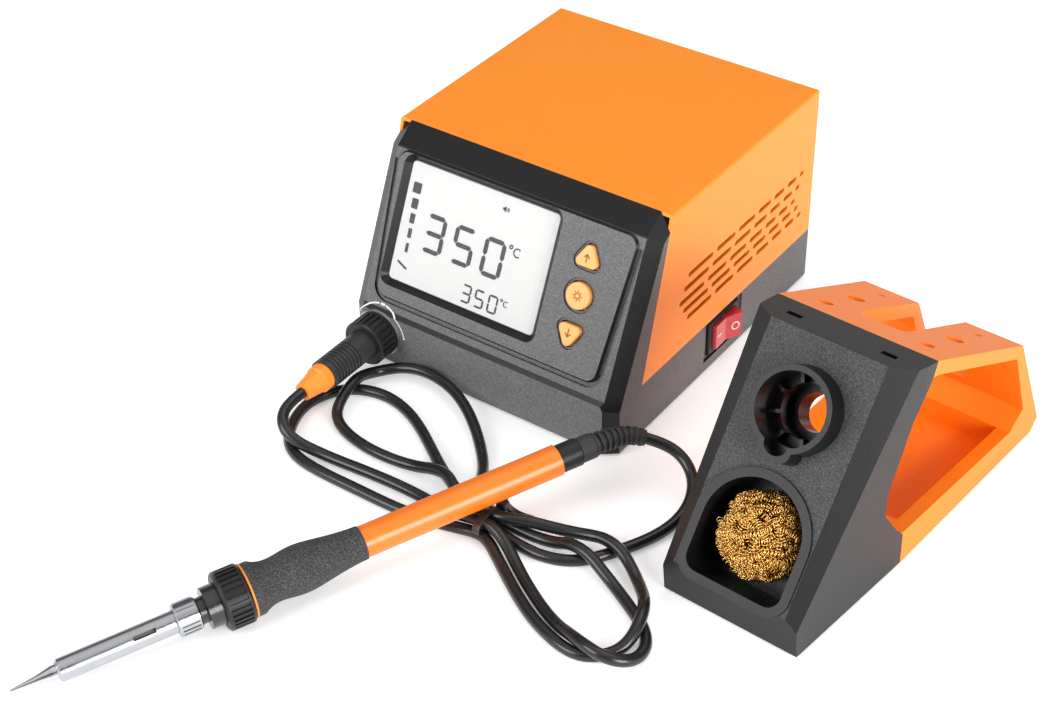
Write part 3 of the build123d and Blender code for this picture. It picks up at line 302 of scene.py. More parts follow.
@dataclass(frozen=True)
class Textured(Finish):
    """Spark-eroded grey plastic on the named faces; smooth dark plastic on the rest, which also paints the
    shade and dark reflection on the top band and the bevels.
    """

    name: str
    grey: Colour
    smooth_black_and_shade: Colour
    faces: tuple[Point, ...]
    grain: float = 0.0009
    depth: float = 0.00012
    fleck: float = 0.5
    top: float = 1.0

    def draw(self, sheet: Sheet) -> None:
        """A mask from the surface's direction and height picks the grained faces; above the top height they
        take the dark colour as painted shade.
        """
        mask = sheet.facing(self.faces[0]) > 0.985
        for direction in self.faces[1:]:
            mask = mask.higher(sheet.facing(direction) > 0.985)
        height = sheet.signal(sheet.node("ShaderNodeSeparateXYZ", None, {0: sheet.place()}), 2)
        # Above the top height the grained faces turn dark: a painted shaded band along the top.
        mask = mask * (1 - (height > self.top))
        fine = sheet.noise(self.grain, 3.0)
        flecks = sheet.ramp(fine, 0.42, 0.62)
        broad = sheet.noise(0.03, 2.0)
        grained = sheet.blend(flecks, shade(self.grey, 1 - self.fleck), shade(self.grey, 1 + self.fleck))
        grained = sheet.blend(broad * 0.35, grained, shade(self.grey, 0.8))
        sheet.set(Base_Color=sheet.blend(mask, self.smooth_black_and_shade, grained), Specular_IOR_Level=0.25)
        sheet.set(Roughness=0.34 + mask * 0.26 + (fine - 0.5) * 0.1)
        sheet.bump(fine * (mask * 0.85 + 0.15), self.depth)


@dataclass(frozen=True)
class Metal(Finish):
    """Metal with fine lines along or round it."""

    name: str
    colour: Colour
    roughness: float = 0.2
    turn: Point = (0.0, 0.0, 0.0)
    stretch: Point = (1.0, 1.0, 1.0)
    depth: float = 0.00001
    stain: float = 0.12

    def draw(self, sheet: Sheet) -> None:
        """Lines in the bump, handling marks in the gloss."""
        lines = sheet.noise(0.0004, 2.0, sheet.stretched(self.turn, self.stretch))
        marks = sheet.ramp(sheet.noise(0.006, 4.0), 0.45, 0.75)
        tint = sheet.blend(marks * self.stain, self.colour, shade(self.colour, 0.55))
        sheet.set(Base_Color=tint, Metallic=1.0, Roughness=self.roughness + lines * 0.12 + marks * 0.1)
        sheet.bump(lines, self.depth)


@dataclass(frozen=True)
class Foam(Finish):
    """Speckled foam rubber of the grip."""

    name: str
    colour: Colour = (0.02, 0.02, 0.021)
    fleck: Colour = (0.10, 0.10, 0.103)

    def draw(self, sheet: Sheet) -> None:
        """Open pores in the bump and pale flecks in the colour."""
        pores = sheet.noise(0.0005, 3.0)
        flecks = sheet.ramp(pores, 0.45, 0.7)
        sheet.set(Base_Color=sheet.blend(flecks, self.colour, self.fleck))
        sheet.set(Roughness=0.82 + (pores - 0.5) * 0.2)
        sheet.bump(pores, 0.00025)


@dataclass(frozen=True)
class Clear(Finish):
    """Clear moulding, coloured or not."""

    name: str
    colour: Colour
    alpha: float
    roughness: float = 0.06

    def draw(self, sheet: Sheet) -> None:
        """Thin clear skin with faint scuffs in its gloss."""
        scuffs = sheet.noise(0.004, 5.0)
        sheet.set(Base_Color=sheet.blend(scuffs, self.colour, shade(self.colour, 0.93)), Alpha=self.alpha)
        sheet.set(Roughness=self.roughness + scuffs * 0.06, Specular_IOR_Level=0.5)


@dataclass(frozen=True)
class Translucent(Finish):
    """Coloured see-through plastic, as in a lit switch, with a painted lighter rim."""

    name: str
    colour: Colour
    head_on: Colour

    def draw(self, sheet: Sheet) -> None:
        """Darker where it faces the view and lighter towards the rim, a painted rim sheen, with a cloudy
        tone under a glossy skin.
        """
        cloud = sheet.noise(0.004, 2.0)
        # Facing blend: lighter at grazing angles, a painted rim sheen.
        edge = sheet.signal(sheet.node("ShaderNodeLayerWeight", None, {"Blend": 0.35}), "Facing")
        tint = sheet.blend(cloud * 0.5 + edge * 0.5, self.head_on, self.colour)
        sheet.set(Base_Color=tint, Roughness=0.16 + cloud * 0.08, Coat_Weight=0.6, Coat_Roughness=0.05)
        sheet.bump(cloud, 0.00003)


@dataclass(frozen=True)
class Print(Finish):
    """Printed or liquid-crystal ink."""

    name: str
    colour: Colour
    roughness: float = 0.45

    def draw(self, sheet: Sheet) -> None:
        """Slightly uneven ink."""
        blot = sheet.noise(0.0005, 3.0)
        sheet.set(Base_Color=sheet.blend(blot, shade(self.colour, 0.9), shade(self.colour, 1.08)))
        sheet.set(Roughness=self.roughness + (blot - 0.5) * 0.1)


@dataclass(frozen=True)
class Paper(Finish):
    """Pale floor paper that glows a little, so that it stays white."""

    name: str
    low: Colour = (0.90, 0.90, 0.90)
    high: Colour = (0.94, 0.94, 0.94)
    glow: float = 0.35

    def draw(self, sheet: Sheet) -> None:
        """Fine fibres in the colour."""
        sheet.set(Base_Color=sheet.blend(sheet.noise(0.002, 3.0), self.low, self.high), Roughness=0.9)
        sheet.set(Emission_Color=(1.0, 1.0, 1.0), Emission_Strength=self.glow, Specular_IOR_Level=0.1)


ORANGE_PAINT = Moulded("cover_orange", (1.0, 0.275, 0.010), 0.45, 0.0004, 0.00002, 0.03, 0.1)
FRAME_ORANGE = Moulded("frame_orange", (1.0, 0.215, 0.001), 0.5, 0.0007, 0.00008, 0.05)
HANDLE_ORANGE = Moulded("handle_orange", (0.86, 0.175, 0.004), 0.34, 0.0005, 0.00001, 0.03, 0.1)
BOOT_ORANGE = Moulded("boot_orange", (1.0, 0.27, 0.02), 0.45, 0.0005, 0.00003, 0.05)
BUTTON_ORANGE = Moulded("button_orange", (1.0, 0.42, 0.12), 0.4, 0.0005, 0.00002, 0.03)
# Its dark colour is smooth black plastic and also painted shade on the top band and the bevels.
PANEL_GREY = Textured(
    "panel_plastic", (0.145, 0.145, 0.147), (0.010, 0.010, 0.0105),
    ((0, -0.9063, 0.4226), (0, -1, 0), (1, 0, 0), (-1, 0, 0), (0, 1, 0)), 0.0006, 0.00008, 0.25, 0.0795)
STAND_GREY = Textured(
    "stand_plastic", (0.066, 0.066, 0.067), (0.010, 0.010, 0.0105),
    ((-0.0466, -0.8082, 0.5871),), 0.0006, 0.00025, 0.42)
BLACK_GLOSS = Moulded("black_gloss", (0.016, 0.016, 0.017), 0.24, 0.0006, 0.00002, 0.1, 0.3)
BLACK_SATIN = Moulded("black_plastic", (0.014, 0.014, 0.0145), 0.4, 0.0005, 0.00004, 0.1, 0.0, 0.3)
DARK_GREY = Moulded("dark_grey_plastic", (0.03, 0.03, 0.031), 0.42, 0.0005, 0.00005, 0.08, 0.0, 0.35)
CUP_BLACK = Moulded("cup_black", (0.006, 0.006, 0.0065), 0.3, 0.0005, 0.00002, 0.1, 0.0, 0.2)
RUBBER = Moulded("soft_rubber", (0.03, 0.03, 0.031), 0.62, 0.0006, 0.00006, 0.12)
CORD_SKIN = Moulded("cord_black", (0.011, 0.011, 0.012), 0.27, 0.0008, 0.00001, 0.12, 0.15, 0.4)
CHROME = Metal("tip_chrome", (0.60, 0.61, 0.63), 0.07, (0, 0, 0), (1, 1, 1), 0.000004, 0.08)
STEEL = Metal("barrel_steel", (0.46, 0.47, 0.49), 0.11, (0, 0, 0.46), (1, 0.06, 1), 0.00001, 0.16)
SCREW = Metal("screw_steel", (0.56, 0.56, 0.58), 0.3, (0, 0, 0), (0.2, 1, 1), 0.00001, 0.2)
ALUMINIUM = Metal("heatsink_aluminium", (0.75, 0.76, 0.78), 0.32, (0, 0, 0), (1, 1, 0.05), 0.00002, 0.15)
BRASS = Metal("brass_parts", (0.80, 0.56, 0.24), 0.25)
TURNINGS = Metal("wool_brass", (0.95, 0.62, 0.20), 0.16, (0, 0, 0), (1, 1, 1), 0.00001, 0.35)
# Dark brown painted shade for the inside of the wool nest.
WOOL_PAINTED_SHADE = Metal("wool_shade", (0.07, 0.035, 0.01), 0.45, (0, 0, 0), (1, 1, 1), 0.0001, 0.6)
CORE = Metal("core_steel", (0.28, 0.27, 0.27), 0.5, (0, 0, 0), (1, 0.05, 1), 0.00008, 0.4)
# The ceramic's hue, darkened far below its own pale colour: painted shade for the dark inside of the
# sleeve's slots.
SHADED_CERAMIC = Moulded("heater_ceramic", (0.24, 0.23, 0.21), 0.6)
BOARD = Moulded("circuit_board", (0.03, 0.16, 0.07), 0.35, 0.002, 0.00003, 0.2)
SLEEVE = Moulded("capacitor_sleeve", (0.02, 0.035, 0.10), 0.3)
TAPE = Moulded("winding_tape", (0.72, 0.55, 0.10), 0.45, 0.0015, 0.00008, 0.1)
GRIP = Foam("grip_foam")
# The darker red shows where the switch faces the view; the lighter red is a painted sheen towards the rim.
RED = Translucent("rocker_red", (0.62, 0.035, 0.05), (0.36, 0.008, 0.02))
PANE = Clear("display_glass", (0.9, 0.92, 0.92), 0.02)
FUSE_GLASS = Clear("fuse_glass", (0.86, 0.9, 0.88), 0.35)
SCREEN = Print("display_grey", (0.62, 0.62, 0.615), 0.4)
INK = Print("display_ink", (0.012, 0.013, 0.015), 0.5)
WHITE_INK = Print("marking_white", (0.80, 0.80, 0.80), 0.5)
KEY_INK = Print("key_marking", (0.42, 0.075, 0.005), 0.5)
ROCKER_INK = Print("rocker_marking", (0.95, 0.62, 0.60), 0.4)


# ------------------------------
# Modelling: a bench that shapes pieces with Blender's own tools
# ------------------------------

class Bench:
    """Shapes new pieces with bpy.ops and dresses them."""

    @staticmethod
    def clear() -> None:
        """Deselect everything."""
        if bpy.context.mode != "OBJECT":
            bpy.ops.object.mode_set(mode="OBJECT")
        for piece in bpy.context.selected_objects:
            piece.select_set(False)

    @classmethod
    def start(cls, primitive: str, **sizes: object) -> bpy.types.Object:
        """Add a primitive of bpy.ops.mesh at its size and leave it active.

        Args:
            primitive: The operator's name without primitive_ and _add.
            sizes: The operator's own arguments.

        Returns:
            The new object.
        """
        cls.clear()
        getattr(bpy.ops.mesh, f"primitive_{primitive}_add")(**sizes)
        return bpy.context.active_object

    @staticmethod
    def pick(test: Callable[[Vector], bool]) -> None:
        """Select vertices of the piece in edit mode by their place."""
        mesh = bmesh.from_edit_mesh(bpy.context.edit_object.data)
        for item in [*mesh.verts, *mesh.edges, *mesh.faces]:
            item.select = False
        for vertex in mesh.verts:
            vertex.select_set(test(vertex.co))
        mesh.select_flush_mode()
        bmesh.update_edit_mesh(bpy.context.edit_object.data)

    @staticmethod
    def edit(kind: str = "VERT") -> None:
        """Go into edit mode with all selected."""
        bpy.ops.object.mode_set(mode="EDIT")
        bpy.ops.mesh.select_mode(type=kind)
        bpy.ops.mesh.select_all(action="SELECT")

    @classmethod
    def raise_by(cls, height: float) -> None:
        """Extrude the whole flat piece along +Z and close it."""
        cls.edit("FACE")
        bpy.ops.mesh.extrude_region_move(TRANSFORM_OT_translate={"value": (0, 0, height)})
        bpy.ops.mesh.select_all(action="SELECT")
        bpy.ops.mesh.normals_make_consistent(inside=False)
        bpy.ops.object.mode_set(mode="OBJECT")

    @staticmethod
    def apply(piece: bpy.types.Object, kind: str, **settings: object) -> None:
        """Add a modifier and apply it."""
        bpy.context.view_layer.objects.active = piece
        modifier = piece.modifiers.new(kind.lower(), kind)
        for key, value in settings.items():
            setattr(modifier, key, value)
        bpy.ops.object.modifier_apply(modifier=modifier.name)

    @staticmethod
    def settle(piece: bpy.types.Object, place: Matrix) -> bpy.types.Object:
        """Put a piece in its place, with the place in its mesh."""
        bpy.context.view_layer.update()
        piece.data.transform(place @ piece.matrix_world)
        piece.matrix_world = Matrix.Identity(4)
        return piece

    @classmethod
    def join(cls, pieces: list[bpy.types.Object], name: str) -> bpy.types.Object:
        """Join pieces into one and name it."""
        cls.clear()
        for piece in pieces:
            piece.select_set(True)
        bpy.context.view_layer.objects.active = pieces[0]
        if len(pieces) > 1:
            bpy.ops.object.join()
        joined = bpy.context.active_object
        joined.name = name
        joined.data.name = name
        cls.clear()
        return joined

    @staticmethod
    def dress(piece: bpy.types.Object, finish: Finish, body: str = "root", slot: str | None = None) -> None:
        """Give a new piece its finish and body."""
        piece.data.materials.clear()
        piece.data.materials.append(finish.build())
        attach(piece, body)
        log.info("%s: made, rides on %s", piece.name, body)

    @staticmethod
    def coat(node: str, finish: Finish) -> None:
        """Give a CAD node its finish."""
        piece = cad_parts[node]
        piece.data.materials.clear()
        piece.data.materials.append(finish.build())
        log.info("%s: finish %s", node, finish.name)


@dataclass
class Plates:
    """Thin raised plates on a face, for markings; every length is in millimetres."""

    place: Matrix
    low: float
    thick: float
    pieces: list[bpy.types.Object] = field(default_factory=list)

    def keep(self, piece: bpy.types.Object, x: float, y: float, turn: float = 0.0) -> None:
        """Raise a flat piece to its thickness and put it on the face."""
        Bench.raise_by(self.thick * MM)
        spot = Matrix.Translation((x * MM, y * MM, self.low * MM)) @ Matrix.Rotation(turn, 4, "Z")
        self.pieces.append(Bench.settle(piece, self.place @ spot))

    def segment(self, x: float, y: float, length: float, width: float, upright: bool) -> None:
        """A bar with pointed ends, as in a digit.

        Args:
            x: Middle across the face.
            y: Middle up the face.
            length: Length over both points.
            width: Width of the bar.
            upright: Whether it stands instead of lying.
        """
        piece = Bench.start("circle", vertices=6, radius=1.0, fill_type="NGON")
        Bench.edit()
        half = width / 2 * MM
        bpy.ops.transform.resize(value=(half / math.cos(math.radians(30)), 2 * half, 1))
        for side in (-1, 1):
            Bench.pick(lambda co: co.y * side > half * 0.5)
            bpy.ops.transform.translate(value=(0, side * (length / 2 * MM - 2 * half), 0))
        bpy.ops.object.mode_set(mode="OBJECT")
        self.keep(piece, x, y, 0.0 if upright else math.pi / 2)

    def bar(self, x: float, y: float, width: float, height: float, turn: float = 0.0,
            round_off: float = 0.0) -> None:
        """A plain bar, its corners rounded by the given radius."""
        piece = Bench.start("plane", size=1.0)
        Bench.edit()
        bpy.ops.transform.resize(value=(width * MM, height * MM, 1))
        corner = round_off or min(width, height) * 0.12
        bpy.ops.mesh.bevel(offset=corner * MM, segments=3, affect="VERTICES")
        bpy.ops.object.mode_set(mode="OBJECT")
        self.keep(piece, x, y, turn)

    def arc(self, x: float, y: float, radius: float, width: float, start: float, sweep: float,
            steps: int = 24) -> None:
        """A flat arc, spun about a point of the face.

        Args:
            x: Centre across the face.
            y: Centre up the face.
            radius: Middle radius.
            width: Width of the line.
            start: Angle where it begins, in degrees from +X.
            sweep: Angle that it runs through, in degrees.
            steps: Number of steps.
        """
        piece = Bench.start("plane", size=1.0)
        Bench.edit()
        bpy.ops.transform.resize(value=(width * MM, 0.001 * MM, 1))
        bpy.ops.transform.translate(value=(radius * MM, 0, 0))
        Bench.pick(lambda co: co.y > 0)
        bpy.ops.mesh.delete(type="VERT")
        bpy.ops.mesh.select_all(action="SELECT")
        bpy.ops.mesh.spin(steps=steps, angle=-math.radians(sweep), center=(0, 0, 0), axis=(0, 0, 1))
        bpy.ops.mesh.select_all(action="SELECT")
        bpy.ops.mesh.remove_doubles(threshold=0.0000005)
        bpy.ops.object.mode_set(mode="OBJECT")
        self.keep(piece, x, y, math.radians(start))

    def finish(self, name: str) -> bpy.types.Object:
        """All plates as one piece."""
        return Bench.join(self.pieces, name)


# ------------------------------
# The power unit
# ------------------------------

class Digit(Enum):
    """Segments lit in each digit: top, upper left and right, middle, lower left and right, bottom."""

    THREE = (1, 0, 1, 1, 0, 1, 1)
    FIVE = (1, 1, 0, 1, 0, 1, 1)
    ZERO = (1, 1, 1, 0, 1, 1, 1)


@dataclass(frozen=True)
class Row:
    """Sizes of one row of digits, from the screen's top left corner, in millimetres."""

    left: float
    step: float
    top: float
    wide: float
    tall: float
    stroke: float


@dataclass
class Display:
    """The screen behind the window: pale film, digits, bars and signs."""

    middle_x: float = -14.0
    middle_y: float = 35.2
    width: float = 66.4
    height: float = 45.9
    corner: float = 1.6
    corner_x: float = -33.4
    corner_y: float = 23.15
    film_low: float = -1.56
    ink_low: float = -1.10
    pane_low: float = -0.98
    pane_thick: float = 0.55
    film_thick: float = 0.4
    ink_thick: float = 0.08
    rows: tuple[Row, ...] = (Row(16.0, 13.5, 16.9, 9.4, 14.9, 1.75), Row(35.4, 6.0, 37.3, 4.3, 7.0, 0.75))
    bars: tuple[Point, ...] = (
        (3.7, 4.1, 9.8), (2.9, 3.9, 15.8), (2.2, 3.8, 21.5), (1.7, 3.7, 27.2), (1.35, 3.6, 32.9))
    bars_edge: float = 6.1

    def at(self, across: float, down: float) -> tuple[float, float]:
        """A spot on the face, given from the screen's top left corner."""
        return self.middle_x + self.corner_x + across, self.middle_y + self.corner_y - down

    def panel(self, low: float, thick: float, name: str) -> bpy.types.Object:
        """A rounded rectangular plate the size of the screen."""
        plates = Plates(Place.face, low, thick)
        plates.bar(self.middle_x, self.middle_y, self.width, self.height, 0.0, self.corner)
        return plates.finish(name)

    def number(self, plates: Plates, digit: Digit, order: int, row: Row) -> None:
        """One seven-segment digit.

        Args:
            plates: The ink to add to.
            digit: Which digit.
            order: Its place in the row, from nought.
            row: The row's sizes.
        """
        x, y = self.at(row.left + row.step * order, row.top + row.tall / 2)
        stroke = row.stroke
        rise = (row.tall - stroke) / 4
        side = (row.wide - stroke) / 2
        upright = (row.tall - stroke) / 2 * 0.97
        flat = (row.wide - stroke) * 0.95
        spots = [(0, 2 * rise, False), (-side, rise, True), (side, rise, True), (0, 0, False),
                 (-side, -rise, True), (side, -rise, True), (0, -2 * rise, False)]
        for lit, (dx, dy, stands) in zip(digit.value, spots):
            if lit:
                plates.segment(x + dx, y + dy, upright if stands else flat, stroke, stands)

    def degrees(self, plates: Plates, across: float, down: float, size: float) -> None:
        """The degree sign and a C."""
        x, y = self.at(across, down)
        line = size * 0.13
        plates.arc(x - size * 0.62, y + size * 0.36, size * 0.16, line, 0, 360, 16)
        plates.arc(x + size * 0.18, y, size * 0.40, line, 50, 260, 14)

    def speaker(self, plates: Plates, across: float, down: float) -> None:
        """A small loudspeaker with three sound waves."""
        x, y = self.at(across, down)
        plates.bar(x, y, 0.7, 1.0)
        for step in range(3):
            plates.bar(x + 0.45 + 0.25 * step, y, 0.26, 1.2 + 0.45 * step)
        for radius in (0.5, 0.95, 1.4):
            plates.arc(x + 1.05, y, radius, 0.2, -40, 80, 8)

    def build(self) -> None:
        """Make the film, the ink and the pane."""
        film = self.panel(self.film_low, self.film_thick, "display_film")
        Bench.dress(film, SCREEN, "root", "display_grey")
        ink = Plates(Place.face, self.ink_low, self.ink_thick)
        for order, digit in enumerate((Digit.THREE, Digit.FIVE, Digit.ZERO)):
            for row in self.rows:
                self.number(ink, digit, order, row)
        self.degrees(ink, 52.0, 19.2, 3.9)
        self.degrees(ink, 52.5, 38.9, 2.6)
        self.speaker(ink, 42.8, 5.4)
        for wide, tall, down in self.bars:
            x, y = self.at(self.bars_edge - wide / 2, down)
            ink.bar(x, y, wide, tall)
        x, y = self.at(5.0, 39.8)
        ink.bar(x, y, 5.2, 0.8, math.radians(-24), 0.38)
        Bench.dress(ink.finish("display_digits"), INK)
        pane = self.panel(self.pane_low, self.pane_thick, "display_pane")
        Bench.dress(pane, PANE, "root", "display_glass")
        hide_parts("display_window")


@dataclass
class Keys:
    """Markings on the three keys."""

    middle_x: float = 35.3
    up_y: float = 47.8
    set_y: float = 33.7
    down_y: float = 19.6
    face_height: float = 2.46
    thick: float = 0.07

    def arrow(self, y: float, way: int, name: str, body: str) -> None:
        """An arrow that points up or down."""
        plates = Plates(Place.face, self.face_height, self.thick)
        x = self.middle_x
        plates.bar(x, y - way * 0.2, 0.62, 3.0)
        for side in (-1, 1):
            spot = x + side * 0.52
            plates.bar(spot, y + way * 0.75, 1.9, 0.58, -side * way * math.radians(48))
        Bench.dress(plates.finish(name), KEY_INK, body)

    def build(self) -> None:
        """Two arrows and a small cog."""
        self.arrow(self.up_y, 1, "key_up_mark", "button_up")
        self.arrow(self.down_y, -1, "key_down_mark", "button_down")
        plates = Plates(Place.face, self.face_height, self.thick)
        x, y = self.middle_x, self.set_y
        plates.arc(x, y, 1.05, 0.5, 0, 360, 24)
        for step in range(8):
            turn = math.radians(45 * step)
            spot = (x + 1.75 * math.cos(turn), y + 1.75 * math.sin(turn))
            plates.bar(*spot, 0.55, 0.5, turn)
        Bench.dress(plates.finish("key_set_mark"), KEY_INK, "button_set")


@dataclass
class SocketMarks:
    """White turn-to-lock line round the socket, laid over the panel's lip."""

    radius: float = 11.4
    width: float = 0.5
    lip: float = 8.5
    knee: float = 1.5
    slope: float = 0.466

    def build(self) -> None:
        """Two arcs with a dash between them and a dot at each end."""
        plates = Plates(Place.panel, 0.01, 0.07)
        plates.arc(0, 0, self.radius, self.width, 97, 51)
        plates.arc(0, 0, self.radius, self.width, 5, 76)
        dash = math.radians(88)
        plates.bar(self.radius * math.cos(dash), self.radius * math.sin(dash), 1.9, 0.8)
        for angle in (148, 5):
            turn = math.radians(angle)
            plates.bar(self.radius * math.cos(turn), self.radius * math.sin(turn), 1.1, 1.1, turn, 0.45)
        piece = plates.finish("socket_marks")
        edge = Place.panel.translation.z + self.lip * MM
        knee = self.knee * MM
        for vertex in piece.data.vertices:
            over = vertex.co.z - edge
            if over > 0:
                vertex.co.y += over if over < knee else knee + (over - knee) * self.slope
        Bench.dress(piece, WHITE_INK)


@dataclass
class RockerMarks:
    """The I and O on the rocker's two slopes."""

    rise: float = 0.2374
    run: float = 0.9714
    root: float = 2.4

    def on_slope(self, side: int) -> Matrix:
        """Frame on one slope, +X to the back along it and +Z out of it."""
        along = (self.rise * side, self.run, 0)
        out = Vector((self.run, -self.rise * side, 0))
        up = out.cross(Vector(along))
        return Place.rocker @ axes((self.root, 0, 0), along, tuple(up))

    def build(self) -> None:
        """A bar on the front slope and a ring on the back one."""
        bar = Plates(self.on_slope(-1), 0.01, 0.08)
        bar.bar(-4.6, 0, 3.4, 0.55)
        ring = Plates(self.on_slope(1), 0.01, 0.08)
        ring.arc(4.4, 0, 1.6, 0.5, 0, 360, 28)
        piece = Bench.join(bar.pieces + ring.pieces, "rocker_marks")
        Bench.dress(piece, ROCKER_INK, "rocker")


@dataclass
class PowerUnit:
    """The power unit: finishes of its CAD pieces, and what is printed on it."""

    finishes: dict[str, Finish] = field(default_factory=lambda: {
        "front_panel": PANEL_GREY, "base_tray": PANEL_GREY, "rear_panel": PANEL_GREY,
        "top_cover": ORANGE_PAINT, "display_window": PANE, "display_module": SCREEN,
        "button_up": BUTTON_ORANGE, "button_set": BUTTON_ORANGE, "button_down": BUTTON_ORANGE,
        "control_board": BOARD, "power_board": BOARD, "key_switches": BLACK_SATIN, "buzzer": BLACK_SATIN,
        "control_board_screws": SCREW, "power_board_screws": SCREW, "rear_screws": SCREW,
        "base_screws": SCREW, "transformer_screws": SCREW, "transformer_strap": SCREW, "socket_nut": SCREW,
        "mains_gland": BLACK_SATIN, "mains_gland_nut": BLACK_SATIN, "station_feet": RUBBER,
        "heatsink": ALUMINIUM, "triac": BLACK_SATIN, "capacitors": SLEEVE, "fuse_clips": BRASS,
        "fuse": FUSE_GLASS, "transformer_core": CORE, "transformer_winding": TAPE,
        "rocker_frame": BLACK_SATIN, "rocker_switch": RED, "iron_socket": SCREW,
    })

    def build(self) -> None:
        """Coat the pieces and print the markings."""
        for node, finish in self.finishes.items():
            Bench.coat(node, finish)
        Display().build()
        Keys().build()
        SocketMarks().build()
        RockerMarks().build()


# ------------------------------
# The cord and the iron
# ------------------------------

@dataclass
class Cord:
    """The iron's cord: one line from the plug, five times through the tie, to the iron."""

    diameter: float = 4.3
    length: float = 1.03
    plug_end: tuple[Point, ...] = (
        (-104.8, -19.4, 14.0), (-105.2, -25.6, 13.6), (-104.6, -31.4, 11.8), (-100.8, -35.2, 9.0),
        (-94.6, -35.2, 6.0))
    to_tie: tuple[Point, ...] = (
        (-87.4, -33.2, 3.6), (-78.5, -31.6, 2.3), (-67, -30.4, 2.2), (-54, -29.6, 2.2), (-41, -29.8, 2.3),
        (-31, -31.6, 3.4), (-22.5, -32.6, 5.9), (-13.3, -31.7, 7.2))
    right_outer: tuple[Point, ...] = (
        (-6.8, -32.6, 6.6), (-0.5, -35.2, 4.6), (6, -39.2, 2.8), (13.5, -44.0, 2.2), (24.5, -50.4, 2.2),
        (33.5, -54.6, 2.8), (41, -57.6, 5.2), (47.5, -60.0, 6.8), (54.5, -60.8, 6.6), (60, -58.0, 4.6),
        (63, -52.2, 2.4), (62.4, -45.6, 2.2), (57.5, -39.4, 2.2), (49, -34.2, 2.2), (40, -29.4, 2.4),
        (32.5, -26.6, 4.2), (25.5, -24.6, 6.8), (17.5, -23.4, 6.6), (11, -23.6, 3.4), (3, -24.0, 2.2),
        (-6.5, -24.8, 2.8), (-13.3, -25.0, 3.2))
    left_outer: tuple[Point, ...] = (
        (-20, -24.4, 2.8), (-29, -21.6, 2.4), (-38, -18.0, 2.2), (-47, -12.8, 2.2), (-56, -6.6, 2.2),
        (-65, -0.6, 2.2), (-74, 4.2, 2.2), (-83, 7.0, 2.2), (-91.5, 7.2, 2.2), (-99.5, 4.6, 2.2),
        (-105.4, -0.8, 2.2), (-108.8, -8, 2.2), (-109.3, -16, 2.2), (-107, -24, 2.2), (-103, -31, 2.2),
        (-97, -36.6, 2.2), (-88.5, -39.2, 2.2), (-77, -39.8, 2.2), (-63, -39.6, 2.2), (-48, -39.6, 2.2),
        (-34, -38.4, 2.2), (-23.5, -36.2, 2.6), (-13.3, -33.9, 3.2))
    right_inner: tuple[Point, ...] = (
        (-7.5, -35.9, 2.7), (-1.5, -39.8, 2.2), (5.5, -44.6, 2.2), (14, -50.2, 2.2), (25, -56.4, 2.2),
        (37.5, -60.8, 2.2), (46, -61.4, 2.2), (52, -58.0, 2.2), (56, -52.6, 2.4), (57.4, -46.8, 4.2),
        (56.6, -40.6, 6.8), (54.2, -34.6, 6.8), (50.4, -29, 4.6), (44.8, -23.4, 3.0), (38.5, -19, 4.6),
        (32, -16.2, 6.8), (25.5, -15.2, 6.8), (20.5, -15.6, 5.8), (14, -17.4, 5.2), (6, -20, 5.6),
        (-1.0, -23.2, 7.1), (-7.5, -26.4, 7.3), (-13.3, -27.3, 7.3))
    left_inner: tuple[Point, ...] = (
        (-19.5, -25.2, 7.5), (-24.5, -19.5, 6.9), (-28.5, -12.5, 4.6), (-33.5, -4.6, 2.6), (-40.5, 3.2, 2.3),
        (-48.5, 10.4, 3.2), (-57, 16.4, 4.6), (-66, 20.8, 5.8), (-75.5, 23.0, 6.4), (-84.5, 23.2, 6.2),
        (-92.3, 21.0, 5.0), (-97.6, 16.6, 4.0), (-99.8, 11.2, 5.0), (-99.8, 6.0, 6.8), (-99.2, 0.5, 6.8),
        (-98.6, -6, 4.6), (-96.6, -11.4, 2.6), (-91.5, -15.6, 2.2), (-83.5, -18.6, 2.2), (-73, -20.2, 2.2),
        (-62, -19.8, 2.2), (-53, -18.6, 2.8), (-45, -18.2, 5.4), (-38, -19.4, 7.0), (-30.5, -24.4, 6.4),
        (-23, -28.6, 4.4), (-13.3, -29.5, 3.2))
    to_iron: tuple[Point, ...] = (
        (-6.5, -29.8, 2.6), (1.5, -30.6, 2.2), (10.5, -30.4, 2.2), (18.5, -27.8, 2.2), (24.6, -22.4, 2.2))
    iron_end: tuple[Point, ...] = (
        (29.4, -14.8, 2.2), (34.4, -5.6, 2.2), (37.6, 2.9, 2.3), (39.2, 11.2, 3.1), (38.6, 19.6, 5.2),
        (35.0, 26.7, 8.2), (28.6, 30.5, 11.9), (20.9, 29.9, 15.2), (14.8, 26.1, 17.5))

    def route(self) -> list[Point]:
        """The whole route, from the plug to the iron."""
        return [*self.plug_end, *self.to_tie, *self.right_outer, *self.left_outer, *self.right_inner,
                *self.left_inner, *self.to_iron, *self.iron_end]

    def build(self, strap: bpy.types.Object) -> None:
        """One open NURBS line with the cord's thickness.

        Args:
            strap: The tie's strap, which sits on the cord; not used.
        """
        points = self.route()
        data = bpy.data.curves.new("iron_cord", "CURVE")
        data.dimensions = "3D"
        spline = data.splines.new("NURBS")
        spline.points.add(len(points) - 1)
        for spot, point in zip(points, spline.points):
            point.co = (*(value * MM for value in spot), 1.0)
        spline.order_u = 3
        spline.use_endpoint_u = True
        data.resolution_u = 6
        data.bevel_depth = self.diameter / 2 * MM
        data.bevel_resolution = 5
        data.use_fill_caps = True
        piece = bpy.data.objects.new("iron_cord", data)
        bpy.context.scene.collection.objects.link(piece)
        data.materials.append(CORD_SKIN.build())
        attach(piece, "root")
        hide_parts("cord_plug_end", "cord_loops_left", "cord_loops_right", "cord_iron_end")
        log.info("iron_cord: made, rides on root")


